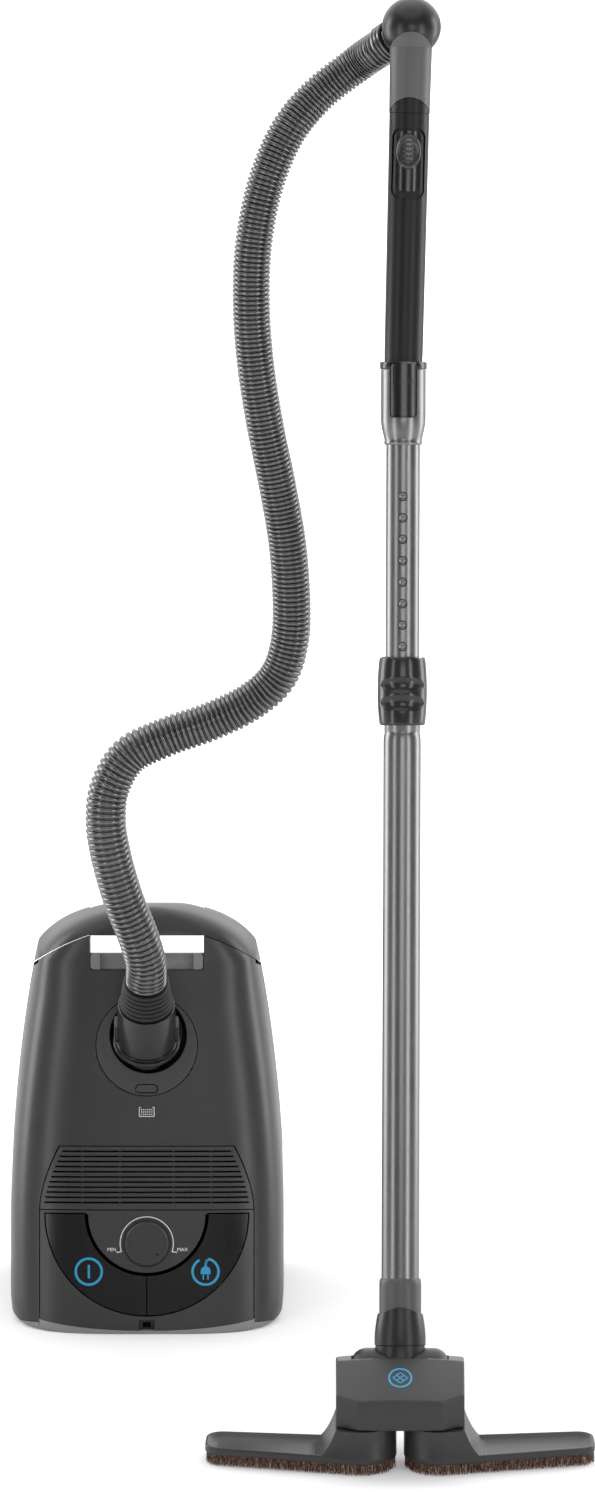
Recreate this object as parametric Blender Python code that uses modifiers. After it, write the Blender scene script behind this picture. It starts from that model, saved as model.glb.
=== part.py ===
"""Canister vacuum cleaner parked upright beside its standing wand, joined by the hose.

Metres, +Z up, front towards -Y. The canister stands on its rear end. Local frames keep the
sloping pieces simple: 'face' lies in the canister's lid surface, 'top_end' follows the carry
handle, 'inlet' follows the hose cuff, 'wand' and 'grip' follow the tubes, 'nozzle' sits on the floor.
"""

import math

import bmesh
import bpy
from mathutils import Vector
from mathutils.geometry import convex_hull_2d

GAP = 0.0004  # clearance between neighbours that touch on the real object

# Canister, in its own frame: the origin is under the lid's centre ridge, at the floor
CANISTER_AT = (-0.1504, 0.093, 0)
HALF_WIDTH = 0.1346
TAPER_START = 0.090
TAPER_AT_SHOULDER = 0.024
SHOULDER_HEIGHT = 0.333
ARCH_HALF_WIDTH, ARCH_CENTRE, ARCH_RISE = 0.115, 0.322, 0.080
BODY_TOP = ARCH_CENTRE + ARCH_RISE
BODY_DEPTH = 0.235
FACE_SLOPE = math.radians(15)
DOME_POWER, DOME_DEPTH, DOME_SHARE = 4.0, 0.090, 0.62
NOSE_START, NOSE_BACK_TOP = 0.250, 0.125
FRONT_CURL_START, FRONT_CURL = 0.372, 0.017
BACK_CORNER = 0.030
SKIN = 0.003
PARTING = 0.090  # the lid meets the lower housing this far behind the lid's ridge
LEVELS = (0, 0.060, 0.120, 0.180, 0.235, 0.275, 0.305, 0.327, 0.346, 0.362, 0.376, 0.387, 0.395, 0.4015)
FRONT_STEPS = 16

# Carry handle and the finger opening under it, in the top_end frame
TOP_END_AT = (0, 0.0036, 0.0307)
TOP_END_SLOPE = math.radians(17)
SEAM_MIDDLE, SEAM_CURVE = 0.3708, 2.87
GRIP_HALF_WIDTH = 0.056
GRIP_BOTTOM, FINGER_FLOOR, LATCH_BOTTOM = 0.361, 0.344, 0.3275
GRIP_DEPTH = 0.038
LATCH_DEPTH = 0.012
INNER_TOP = 0.3365

# Control panel, grille and pedals, in the face frame (x across, z up the face)
PANEL_HALF_WIDTH, PANEL_TOP = 0.1055, 0.1222
GRILLE_TOP, GRILLE_TOP_HALF_WIDTH = 0.1850, 0.0860
SLOT_COUNT, SLOT_LOW, SLOT_PITCH, SLOT_HEIGHT = 11, 0.1285, 0.00504, 0.0026
RIB_AT, RIB_WIDTH = 0.045, 0.0024
PEDAL_CENTRE, PEDAL_OUTER, PEDAL_INNER = 0.1180, 0.0995, 0.0610
PEDAL_CLEARANCE, PEDAL_BACK = 0.0012, 0.020
KNOB_HEIGHT, KNOB_RADIUS, KNOB_PROUD = 0.0893, 0.0215, 0.006
BUMPER_HEIGHT, BUMPER_RISE = 0.003, 0.008

# Hose inlet, in the face frame
RING_HEIGHT, RING_RADIUS = 0.2843, 0.0500
RECESS_HEIGHT, RECESS_RADIUS = 0.2945, 0.0378
WINDOW_HEIGHT = 0.2416
INLET_AT = (0, -0.003, 0.2867)
INLET_SLOPE = math.radians(45)
CUFF_RADIUS, CUFF_LENGTH = 0.0290, 0.057
RELIEF_LENGTH = 0.031

# Lid hinge rod, wheels and caster, in the canister frame (y, z)
HINGE_AT = (0.034, 0.0095)
HINGE_RADIUS = 0.002
SKIRT_CLEARED = 0.048  # nothing lies under the lid's skirts in front of this, so that they can swing
WHEEL_AT, WHEEL_RADIUS = (0.190, 0.075), 0.055
WHEEL_INNER, WHEEL_OUTER, WELL_INNER = 0.105, 0.130, 0.101
CASTER_AT, CASTER_RADIUS = (0.227, 0.285), 0.018

# Hose: the centre of its route between the straight stubs at the bend relief and at the handle's elbow
HOSE_RADIUS = 0.0192
HOSE_POINTS = 76
HOSE_STUB = 0.006
HOSE_ROUTE = (
    (-0.1508, 0.1049, 0.3805),
    (-0.1580, 0.0940, 0.4100),
    (-0.1720, 0.0860, 0.4500),
    (-0.1840, 0.0800, 0.4960),
    (-0.1890, 0.0790, 0.5320),
    (-0.1850, 0.0830, 0.5660),
    (-0.1660, 0.0900, 0.5960),
    (-0.1300, 0.0960, 0.6130),
    (-0.0880, 0.1010, 0.6270),
    (-0.0500, 0.1050, 0.6450),
    (-0.0225, 0.1080, 0.6690),
    (-0.0105, 0.1100, 0.7020),
    (-0.0080, 0.1100, 0.7430),
    (-0.0120, 0.1080, 0.8050),
    (-0.0220, 0.1050, 0.8670),
    (-0.0340, 0.1030, 0.9290),
    (-0.0430, 0.1030, 0.9900),
    (-0.0470, 0.1050, 1.0500),
    (-0.0445, 0.1110, 1.1090),
    (-0.0330, 0.1220, 1.1650),
    (-0.0120, 0.1380, 1.2120),
    (0.0180, 0.1530, 1.2460),
    (0.0567, 0.1579, 1.2761),
)

# Wand: distances along its axis from the nozzle's tilt axis
PIVOT_HEIGHT, PIVOT_BACK, BARREL_RADIUS, BARREL_HALF = 0.076, 0.080, 0.027, 0.0465
WAND_LEAN_BACK, WAND_LEAN_SIDE = math.radians(17), math.radians(0.2)
SOCKET_TOP, SOCKET_RADIUS = 0.094, 0.0203
LOWER_TUBE_TOP, LOWER_TUBE_RADIUS = 0.650, 0.0182
SLEEVE_BOTTOM, SLEEVE_TOP, SLEEVE_RADIUS = 0.628, 0.694, 0.0238
UPPER_TUBE_BOTTOM, UPPER_TUBE_RADIUS, TUBE_WALL = 0.560, 0.0164, 0.0010
COLLAR_BOTTOM, COLLAR_TOP, COLLAR_RADIUS = 0.899, 0.9715, 0.0218
LATCH_WINDOW = (0.925, 0.971)
PLUG_BOTTOM, GRIP_AT = 0.935, 0.979
GRIP_RADIUS, GRIP_TOP_RADIUS, GRIP_BORE = 0.0184, 0.0194, 0.0150
GRIP_LEAN_SIDE = math.radians(1.2)

# Grip frame: distances along it from the collar's top
BLEED_SEAT = (0.157, 0.226)
BLEED_HALF_WIDTH, BLEED_SLIDER_AT, BLEED_SLIDER_HALF = 0.0155, 0.203, (0.0120, 0.0175)
GRIP_END, NECK_SLEEVE_END, BALL_AT, BALL_RADIUS = 0.240, 0.320, 0.324, 0.0286
HOSE_EXIT = (-0.665, 0.452, -0.594)
COLLAR_START, COLLAR_END, COLLAR_OUTSIDE, COLLAR_BORE = 0.0260, 0.0400, 0.0219, 0.0160

# Floor nozzle, in its own frame: the origin is at the floor, under the front of the wings
NOZZLE_AT = (0.0968, -0.338, 0)
TURRET_OFFSET, TURRET_RADIUS, TURRET_TOP = 0.0374, 0.0340, 0.0450
TIP_CIRCLES = ((0.1722, 0.0460, 0.0160), (0.1712, 0.0660, 0.0160))
BRISTLE_TOP, ARM_TOP = 0.0090, 0.0190
BLOCK_HALF_WIDTH, BLOCK_BOTTOM, BLOCK_FRONT_TOP = 0.0620, 0.0456, 0.0730
BLOCK_BACK, BLOCK_CREST, BLOCK_CREST_BACK, BLOCK_BACK_TOP = 0.108, 0.0975, 0.060, 0.084
BLOCK_FRONT_AT, BLOCK_FRONT_HALF, BLOCK_CHAMFER = 0.0015, 0.0405, 0.0120


# ---------------------------------------------------------------- scene, materials and frames

def clear_scene():
    for obj in list(bpy.data.objects):
        bpy.data.objects.remove(obj, do_unlink=True)


def new_collection(name):
    collection = bpy.data.collections.new(name)
    bpy.context.scene.collection.children.link(collection)
    return collection


clear_scene()
PARTS = new_collection("canister_vacuum_cleaner")
CUTTERS = new_collection("cutters")

LOOKS = {
    "shell": ((0.035, 0.036, 0.038), 0.32, 0.0),
    "black": ((0.008, 0.008, 0.009), 0.35, 0.0),
    "grey": ((0.075, 0.075, 0.078), 0.40, 0.0),
    "strip": ((0.25, 0.25, 0.26), 0.45, 0.0),
    "rubber": ((0.012, 0.012, 0.012), 0.75, 0.0),
    "hose": ((0.16, 0.16, 0.165), 0.35, 0.3),
    "steel": ((0.45, 0.45, 0.46), 0.25, 1.0),
    "bristle": ((0.12, 0.06, 0.035), 0.80, 0.0),
    "paper": ((0.75, 0.72, 0.66), 0.90, 0.0),
    "filter": ((0.80, 0.82, 0.84), 0.85, 0.0),
    "board": ((0.03, 0.18, 0.08), 0.50, 0.0),
    "inner": ((0.10, 0.10, 0.11), 0.55, 0.0),
}


def material(look):
    made = bpy.data.materials.get(look)
    if made:
        return made
    colour, roughness, metallic = LOOKS[look]
    made = bpy.data.materials.new(look)
    made.use_nodes = True
    shader = made.node_tree.nodes["Principled BSDF"]
    shader.inputs["Base Color"].default_value = (*colour, 1)
    shader.inputs["Roughness"].default_value = roughness
    shader.inputs["Metallic"].default_value = metallic
    return made


def frame(name, parent=None, location=(0, 0, 0), rotation=(0, 0, 0)):
    empty = bpy.data.objects.new(name, None)
    empty.location = location
    empty.rotation_euler = rotation
    empty.parent = parent
    PARTS.objects.link(empty)
    return empty


def place(name, mesh, parent, look=None):
    """A new object: a part when it has a look, otherwise a cutter."""
    obj = bpy.data.objects.new(name, mesh)
    obj.parent = parent
    if look:
        mesh.materials.append(material(look))
        PARTS.objects.link(obj)
    else:
        obj.hide_render = True
        obj.display_type = "WIRE"
        CUTTERS.objects.link(obj)
    return obj


def finish_mesh(name, shape, smooth=False):
    mesh = bpy.data.meshes.new(name)
    bmesh.ops.recalc_face_normals(shape, faces=shape.faces)
    shape.to_mesh(mesh)
    shape.free()
    if smooth:
        mesh.shade_smooth()
        mesh.set_sharp_from_angle(angle=math.radians(35))
    return mesh


# ---------------------------------------------------------------- basic shapes

def box(name, low, high, parent, look=None, bevel=0):
    shape = bmesh.new()
    bmesh.ops.create_cube(shape, size=1)
    centre = [(a + b) / 2 for a, b in zip(low, high)]
    size = [b - a for a, b in zip(low, high)]
    bmesh.ops.scale(shape, vec=size, verts=shape.verts)
    bmesh.ops.translate(shape, vec=centre, verts=shape.verts)
    if bevel:
        bmesh.ops.bevel(shape, geom=shape.edges, offset=bevel, segments=1, affect="EDGES")
    return place(name, finish_mesh(name, shape), parent, look)


def rod(name, start, end, radius, parent, look=None, steps=24, end_radius=None):
    """A round bar or cone from start to end."""
    start, end = Vector(start), Vector(end)
    along = end - start
    shape = bmesh.new()
    bmesh.ops.create_cone(shape, cap_ends=True, segments=steps, radius1=radius,
                          radius2=radius if end_radius is None else end_radius, depth=along.length)
    bmesh.ops.rotate(shape, matrix=along.to_track_quat("Z", "Y").to_matrix(), verts=shape.verts)
    bmesh.ops.translate(shape, vec=(start + end) / 2, verts=shape.verts)
    return place(name, finish_mesh(name, shape, smooth=True), parent, look)


def turned(name, profile, parent, look=None, steps=24):
    """A profile of (radius, height), from the top down its outer side and up its bore, turned about Z."""
    mesh = bpy.data.meshes.new(name)
    points = [(radius, 0, height) for radius, height in profile]
    edges = [(i, i + 1) for i in range(len(points) - 1)]
    if profile[0][0] > 0:
        edges.append((len(points) - 1, 0))
    mesh.from_pydata(points, edges, [])
    obj = place(name, mesh, parent, look)
    screw = obj.modifiers.new("turn", "SCREW")
    screw.steps = screw.render_steps = steps
    screw.use_merge_vertices = True
    screw.merge_threshold = 0.00001
    screw.use_smooth_shade = True
    return obj


def prism(name, outline, near, far, parent, look=None, axis="Y"):
    """A flat outline extruded along Y (outline in x, z) or along Z (outline in x, y)."""
    curve = bpy.data.curves.new(name, "CURVE")
    curve.dimensions = "2D"
    curve.fill_mode = "BOTH"
    curve.extrude = (far - near) / 2
    spline = curve.splines.new("POLY")
    spline.points.add(len(outline) - 1)
    for point, (across, up) in zip(spline.points, outline):
        point.co = (across, up, 0, 1)
    spline.use_cyclic_u = True
    drawn = bpy.data.objects.new(name, curve)
    CUTTERS.objects.link(drawn)
    shape = bmesh.new()
    graph = bpy.context.evaluated_depsgraph_get()
    flat = bpy.data.meshes.new_from_object(drawn.evaluated_get(graph))
    shape.from_mesh(flat)
    bpy.data.objects.remove(drawn)
    bpy.data.meshes.remove(flat)
    bmesh.ops.remove_doubles(shape, verts=shape.verts, dist=0.000001)
    bmesh.ops.dissolve_limit(shape, angle_limit=0.001, verts=shape.verts, edges=shape.edges)
    middle = (near + far) / 2
    for vert in shape.verts:
        across, up, along = vert.co
        vert.co = (across, middle - along, up) if axis == "Y" else (across, up, middle + along)
    return place(name, finish_mesh(name, shape), parent, look)


def arc(centre, radius, start, end, steps):
    """Points on a circle, from one angle to another in degrees."""
    angles = [math.radians(start + (end - start) * i / steps) for i in range(steps + 1)]
    return [(centre[0] + radius * math.cos(a), centre[1] + radius * math.sin(a)) for a in angles]


def rounded_box(half_width, low, high, radius, steps=4):
    """A rectangle's outline with round corners, about x = 0."""
    sides = (half_width, -half_width, -half_width, half_width)
    corners = zip(sides, (high, high, low, low), (0, 90, 180, 270))
    points = []
    for x, z, start in corners:
        centre = (x - math.copysign(radius, x), z - radius if z == high else z + radius)
        points += arc(centre, radius, start, start + 90, steps)
    return points


def boolean(obj, other, operation):
    cut = obj.modifiers.new(other.name, "BOOLEAN")
    cut.operation = operation
    cut.object = other
    return obj


def cut(obj, *cutters):
    for cutter in cutters:
        boolean(obj, cutter, "DIFFERENCE")
    return obj


def keep(obj, *cutters):
    for cutter in cutters:
        boolean(obj, cutter, "INTERSECT")
    return obj


def join(obj, *others):
    for other in others:
        boolean(obj, other, "UNION")
    return obj


# ---------------------------------------------------------------- the canister's outer form

def half_width(height):
    """Half the canister's width: straight sides, a slow taper, then the arch of the handle."""
    rise = max(0, height - TAPER_START) / (SHOULDER_HEIGHT - TAPER_START)
    width = HALF_WIDTH - TAPER_AT_SHOULDER * rise ** 1.709
    if height > ARCH_CENTRE:
        across = math.sqrt(1 - ((height - ARCH_CENTRE) / ARCH_RISE) ** 2)
        width = min(width, ARCH_HALF_WIDTH * across)
    return width


def front_depth(height):
    """The lid's ridge: a slope that curls back over the handle."""
    depth = height * math.tan(FACE_SLOPE)
    if height > FRONT_CURL_START:
        share = (height - FRONT_CURL_START) / (BODY_TOP - FRONT_CURL_START)
        depth += FRONT_CURL * (1 - math.sqrt(1 - share ** 2))
    return depth


def back_depth(height):
    """The underside: flat, then a round nose up to the handle."""
    if height < NOSE_START:
        return BODY_DEPTH
    share = (height - NOSE_START) / (BODY_TOP - NOSE_START)
    return NOSE_BACK_TOP + (BODY_DEPTH - NOSE_BACK_TOP) * math.sqrt(1 - share ** 2)


def section(height, inset):
    """One level section of the canister, anticlockwise from above, starting at its left side."""
    width = half_width(height) - inset
    front = front_depth(height) + inset
    back = back_depth(height) - inset
    dome = min(DOME_DEPTH, DOME_SHARE * (back - front))
    corner = min(BACK_CORNER, width * 0.5, (back - front - dome) * 0.8)
    points = []
    for i in range(FRONT_STEPS + 1):
        angle = math.pi * (i / FRONT_STEPS - 0.5)
        across = math.copysign(abs(math.sin(angle)) ** (2 / DOME_POWER), angle)
        deep = 1 - abs(math.cos(angle)) ** (2 / DOME_POWER)
        points.append((width * across, front + dome * deep, height))
    for centre, start in ((width - corner, 0), (corner - width, 90)):
        points += [(x, y, height) for x, y in arc((centre, back - corner), corner, start, start + 90, 3)]
    return points


def canister_form(name, inset, levels, parent, look=None):
    """The canister's solid form, lofted through its level sections."""
    shape = bmesh.new()
    rings = []
    for height in levels:
        rings.append([shape.verts.new(p) for p in section(height, inset)])
    count = len(rings[0])
    for low, high in zip(rings, rings[1:]):
        for i in range(count):
            j = (i + 1) % count
            shape.faces.new((low[i], low[j], high[j], high[i]))
    shape.faces.new(reversed(rings[0]))
    shape.faces.new(rings[-1])
    bmesh.ops.triangulate(shape, faces=shape.faces)
    return place(name, finish_mesh(name, shape, smooth=True), parent, look)


def panel_outline(grow, top):
    """The cut-out in the lid for the panel and the grille, up to a height."""
    side = PANEL_HALF_WIDTH + grow
    points = [(-side, -0.03), (side, -0.03), (side, min(PANEL_TOP, top))]
    if top > PANEL_TOP:
        for share in (0.25, 0.5, 0.75, 1):
            up = PANEL_TOP + (top - PANEL_TOP) * share
            inward = (PANEL_HALF_WIDTH - GRILLE_TOP_HALF_WIDTH) * share ** 1.7
            points.append((side - inward, up))
    return points + [(-x, up) for x, up in reversed(points[2:])]


def seam_outline(shift):
    """Everything above the seam between the lid and the carry handle."""
    steps = 8
    half = 0.150
    left = []
    for i in range(steps + 1):
        x = -half + (half - GRIP_HALF_WIDTH) * i / steps
        left.append((x, SEAM_MIDDLE - SEAM_CURVE * x * x + shift))
    left.append((-GRIP_HALF_WIDTH, GRIP_BOTTOM + shift))
    right = [(-x, up) for x, up in reversed(left)]
    return left + right + [(half, 0.50), (-half, 0.50)]


def bumper_outline(grow):
    """The bumper's front view: a thin sole, with a band that rises between the lid's skirts."""
    side = PANEL_HALF_WIDTH - GAP + grow
    band = [(side * i / 6, BUMPER_HEIGHT + BUMPER_RISE * (i / 6) ** 2 + grow) for i in range(-6, 7)]
    wide = HALF_WIDTH + 0.02
    return [(-wide, -0.02), (wide, -0.02), (wide, BUMPER_HEIGHT + grow), (side, BUMPER_HEIGHT + grow),
            *reversed(band), (-side, BUMPER_HEIGHT + grow), (-wide, BUMPER_HEIGHT + grow)]


CANISTER = frame("canister", location=CANISTER_AT)
FACE = frame("face", CANISTER, rotation=(-FACE_SLOPE, 0, 0))
TOP_END = frame("top_end", CANISTER, TOP_END_AT, (-TOP_END_SLOPE, 0, 0))
INLET = frame("inlet", FACE, INLET_AT, (INLET_SLOPE, 0, 0))
FAR = 0.5

OUTER = canister_form("outer_form", 0, LEVELS, CANISTER)
INNER = canister_form("inner_form", SKIN, (BUMPER_HEIGHT, *LEVELS[1:12]), CANISTER)
keep(INNER, box("inner_top", (-FAR, -FAR, -FAR), (FAR, FAR, INNER_TOP), TOP_END))


# ---------------------------------------------------------------- canister casings

def form_copy(name, look="shell"):
    """A part that starts as the whole outer form."""
    return place(name, OUTER.data.copy(), CANISTER, look)


def region(name, outline, parent=None):
    """A cutter that runs right through the canister from front to back."""
    return prism(name, outline, -FAR, FAR, parent or CANISTER)


def front_region(name, outline):
    """A cutter through the lid's side of the canister only, square to the lid."""
    return prism(name, outline, -0.06, PARTING, FACE)


def finger_outline(grow):
    """Side view of the space under and behind the carry handle."""
    floor, top = FINGER_FLOOR - grow, GRIP_BOTTOM + grow
    wall = GRIP_DEPTH - grow
    return [(-0.1, floor), (0.3, floor), (0.3, 0.6), (wall, 0.6), (wall, top), (-0.1, top)]


def side_prism(name, outline, low, high, parent, look=None):
    """An outline in y and z, extruded across from x = low to x = high."""
    obj = prism(name, outline, low, high, parent, look, axis="Z")
    for vert in obj.data.vertices:
        vert.co = (vert.co.z, vert.co.x, vert.co.y)
    return obj


FINGER = side_prism("finger_space", finger_outline(0), -GRIP_HALF_WIDTH, GRIP_HALF_WIDTH, TOP_END)
SEAM = region("above_seam", seam_outline(-GAP), TOP_END)
BASE = region("bumper_room", bumper_outline(GAP))
BEHIND = box("behind_parting", (-FAR, PARTING, -FAR), (FAR, FAR, FAR), FACE)
BEFORE = box("before_parting", (-FAR, -FAR, -FAR), (FAR, PARTING + GAP, FAR), FACE)
LID_PANEL = front_region("panel_opening", panel_outline(0, GRILLE_TOP))
LID_SWING = prism("lid_swing_room", seam_outline(-GAP - 0.0032), 0.028, FAR, TOP_END)
LATCH_ROOM = prism("latch_room", rounded_box(GRIP_HALF_WIDTH, LATCH_BOTTOM, FINGER_FLOOR + 0.01, 0.003, 1),
                   -0.05, LATCH_DEPTH + GAP, TOP_END)


def lid_shell():
    shell = form_copy("lid_shell")
    up = RING_HEIGHT
    hole = rod("inlet_hole", (0, -0.05, up), (0, 0.05, up), RING_RADIUS + GAP, FACE, steps=32)
    cut(shell, INNER, SEAM, FINGER, BEHIND, BASE, LID_PANEL, LATCH_ROOM, hole, LID_SWING)
    for side in (-1, 1):
        ear = across_box(f"hinge_ear_{side}", side, 0.1062, 0.1150, (0.010, 0.042), (0.0040, 0.0155))
        join(shell, keep(ear, OUTER))
    return cut(shell, hinge_eye("lid_hinge_eye"))


def across_box(name, side, inner, outer, deep, up, parent=None, look=None):
    """A box on one side of the middle: x from inner to outer, mirrored when side is -1."""
    xs = sorted((side * inner, side * outer))
    return box(name, (xs[0], deep[0], up[0]), (xs[1], deep[1], up[1]), parent or CANISTER, look)


def hinge_eye(name):
    return rod(name, (-0.2, *HINGE_AT), (0.2, *HINGE_AT), HINGE_RADIUS + GAP, CANISTER, steps=12)


def lower_housing():
    shell = form_copy("lower_housing")
    cut(shell, INNER, SEAM, FINGER, BEFORE, BASE)
    for side in (-1, 1):
        centre = (side * WELL_INNER, *WHEEL_AT)
        outside = (side * 0.2, *WHEEL_AT)
        well = rod(f"well_{side}", centre, outside, WHEEL_RADIUS + 0.003, CANISTER, steps=28)
        wall = rod(f"well_wall_{side}", (side * (WELL_INNER - SKIN), *WHEEL_AT), (side * 0.134, *WHEEL_AT),
                   WHEEL_RADIUS + 0.003 + SKIN, CANISTER, steps=28)
        join(cut(shell, well), cut(keep(wall, OUTER, BEHIND), well))
    depth = back_depth(CASTER_AT[1])
    up = CASTER_AT[1]
    boss = keep(rod("caster_boss", (0, 0.196, up), (0, depth + 0.004, up), 0.036, CANISTER, steps=28), OUTER)
    pocket = rod("caster_pocket", (0, 0.200, up), (0, 0.3, up), 0.033, CANISTER, steps=28)
    outlet = rod("outlet_hole", (0.070, 0.2, 0.030), (0.070, 0.3, 0.030), 0.0084, CANISTER, steps=16)
    return cut(join(shell, boss), pocket, outlet)


def carry_handle():
    """The grip bar and its two hollow legs, which stand on the lower housing behind the lid."""
    handle = form_copy("carry_handle")
    half = GRIP_HALF_WIDTH
    room = side_prism("handle_room", finger_outline(GAP), -half - GAP, half + GAP, TOP_END)
    hollow = canister_form("handle_hollow", 0.004, LEVELS[6:12], CANISTER)
    cut(hollow, box("solid_grip", (-half - 0.004, -FAR, -FAR), (half + 0.004, FAR, FAR), CANISTER))
    return cut(keep(handle, region("handle_region", seam_outline(GAP), TOP_END)), room, hollow)


def lid_latch():
    outline = rounded_box(GRIP_HALF_WIDTH - 2 * GAP, LATCH_BOTTOM + 2 * GAP, FINGER_FLOOR - GAP, 0.003, 2)
    latch = keep(form_copy("lid_latch"), prism("latch_block", outline, -0.05, LATCH_DEPTH - GAP, TOP_END))
    scoop_at = (-0.0085, 0.3375)
    return cut(latch, rod("latch_scoop", (-0.046, *scoop_at), (0.046, *scoop_at), 0.0115, TOP_END, steps=20))


def base_bumper():
    bumper = keep(form_copy("base_bumper", "strip"), region("bumper_region", bumper_outline(0)))
    cut(bumper, INNER)
    cleared = (-0.1, SKIRT_CLEARED)
    for side in (-1, 1):
        room = across_box(f"skirt_room_{side}", side, PANEL_HALF_WIDTH - GAP, 0.2, cleared, (-0.01, 0.02))
        lug = across_box(f"hinge_lug_{side}", side, 0.0950, 0.1045, (0.026, 0.042), (0.001, 0.0150))
        join(cut(bumper, room), lug)
    return cut(bumper, hinge_eye("lug_eye"))


lid_shell()
lower_housing()
carry_handle()
lid_latch()
base_bumper()
rod("lid_hinge_rod", (-0.1135, *HINGE_AT), (0.1135, *HINGE_AT), HINGE_RADIUS, CANISTER, "steel", steps=12)


# ---------------------------------------------------------------- control panel, grille and inlet

def crescent(grow, sides=(180, 360)):
    """The pedals' outline: half a ring that hangs from the panel's top."""
    steps = round((sides[1] - sides[0]) / 9)
    outer = arc((0, PEDAL_CENTRE), PEDAL_OUTER + grow, *sides, steps)
    inner = arc((0, PEDAL_CENTRE), PEDAL_INNER - grow, *reversed(sides), steps)
    if grow:
        outer = [(outer[0][0], PEDAL_CENTRE + grow)] + outer + [(outer[-1][0], PEDAL_CENTRE + grow)]
        inner = [(inner[0][0], PEDAL_CENTRE + grow)] + inner + [(inner[-1][0], PEDAL_CENTRE + grow)]
    return outer + inner


def control_panel():
    outline = panel_outline(-GAP, PANEL_TOP - GAP)
    panel = keep(form_copy("control_panel"), front_region("panel_region", outline))
    cut(panel, INNER, BASE, front_region("pedal_opening", crescent(PEDAL_CLEARANCE)))
    shaft = rod("knob_hole", (0, -0.1, KNOB_HEIGHT), (0, 0.1, KNOB_HEIGHT), 0.0050, FACE, steps=12)
    seat_radius = KNOB_RADIUS + 0.001
    seat = rod("knob_seat", (0, -0.1, KNOB_HEIGHT), (0, 0.0010, KNOB_HEIGHT), seat_radius, FACE, steps=32)
    socket_room = box("socket_room", (-0.0075, -0.01, -0.01), (0.0075, 0.02, 0.0135), CANISTER)
    return cut(panel, shaft, seat, socket_room)


def pedal(name, sides):
    """One half of the crescent, thick enough to run in its opening."""
    outline = crescent(0, sides)
    plate = keep(form_copy(name), prism(f"{name}_block", outline, -0.06, PEDAL_BACK, FACE))
    return cut(plate, PEDAL_HOLLOW)


def speed_knob():
    """A flat disc with a finger dimple's marker side, on a short spindle."""
    up, low, top = KNOB_HEIGHT, 0.0006, -KNOB_PROUD
    rim = KNOB_RADIUS - 0.0012
    ends = (0, low, up), (0, top, up)
    knob = rod("speed_knob", *ends, KNOB_RADIUS, FACE, "shell", steps=32, end_radius=rim)
    spindle = rod("knob_spindle", (0, -0.002, up), (0, 0.0120, up), 0.0040, FACE, steps=12)
    return join(knob, spindle)


def exhaust_grille():
    outline = panel_outline(-GAP, GRILLE_TOP - GAP)
    below = box("below_grille", (-0.2, -0.06, -0.05), (0.2, PARTING, PANEL_TOP + GAP), FACE)
    grille = cut(keep(form_copy("exhaust_grille"), front_region("grille_region", outline)), INNER, below)
    for row in range(SLOT_COUNT):
        up = SLOT_LOW + SLOT_PITCH * row
        share = max(0, (up + 0.004 - PANEL_TOP) / (GRILLE_TOP - PANEL_TOP))
        reach = PANEL_HALF_WIDTH - (PANEL_HALF_WIDTH - GRILLE_TOP_HALF_WIDTH) * share ** 1.7 - 0.005
        for low, high in ((-reach, -RIB_AT), (-RIB_AT + RIB_WIDTH, RIB_AT - RIB_WIDTH), (RIB_AT, reach)):
            cut(grille, box("slot", (low, -0.05, up), (high, 0.05, up + SLOT_HEIGHT), FACE))


def inlet_parts():
    up = RING_HEIGHT
    ring = rod("inlet_ring", (0, 0.0010, up), (0, 0.0050, up), RING_RADIUS, FACE, "shell", steps=32)
    up = RECESS_HEIGHT
    recess = rod("recess", (0, -0.05, up), (0, 0.05, up), RECESS_RADIUS, FACE, steps=32)
    outline = rounded_box(0.0112, WINDOW_HEIGHT - 0.0045, WINDOW_HEIGHT + 0.0045, 0.0044)
    cut(ring, recess, prism("window_hole", outline, -0.05, 0.05, FACE))
    outline = rounded_box(0.0108, WINDOW_HEIGHT - 0.0041, WINDOW_HEIGHT + 0.0041, 0.0040)
    prism("bag_window", outline, 0.0013, 0.0046, FACE, "black")
    base, tip = (0, 0, 0.0035), (0, 0, CUFF_LENGTH)
    widest, narrowest = CUFF_RADIUS + 0.0003, CUFF_RADIUS - 0.001
    cuff = rod("hose_cuff", base, tip, widest, INLET, "black", steps=28, end_radius=narrowest)
    flange = rod("cuff_flange", (0, 0, 0), (0, 0, 0.0045), CUFF_RADIUS + 0.0040, INLET, steps=28)
    neck = rod("cuff_neck", (0, 0, -0.018), (0, 0, 0.001), 0.0200, INLET, steps=28)
    bore = rod("cuff_bore", (0, 0, -0.1), (0, 0, 0.1), 0.0165, INLET, steps=24)
    deep, along = (-0.0085, 0.0085), (0.0085, 0.0320)
    for side in (-1, 1):
        cut(cuff, across_box(f"catch_room_{side}", side, CUFF_RADIUS - 0.0040, 0.05, deep, along, INLET))
    cut(join(cuff, flange, neck), bore)
    for side, name in ((-1, "cuff_catch_left"), (1, "cuff_catch_right")):
        block = across_box(name, side, CUFF_RADIUS - 0.0012, CUFF_RADIUS + 0.0034, (-0.0075, 0.0075),
                           (0.0095, 0.0310), INLET, "black")
        trim = rod(f"{name}_trim", (0, 0, 0), (0, 0, 0.04), CUFF_RADIUS + 0.0030, INLET, steps=28)
        keep(block, trim)
    outer, inner, half = 0.0290, 0.0225, 0.0035
    turned("inlet_seal", [(outer, half), (outer, -half), (inner, -half), (inner, half)], SEAL, "rubber")


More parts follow.
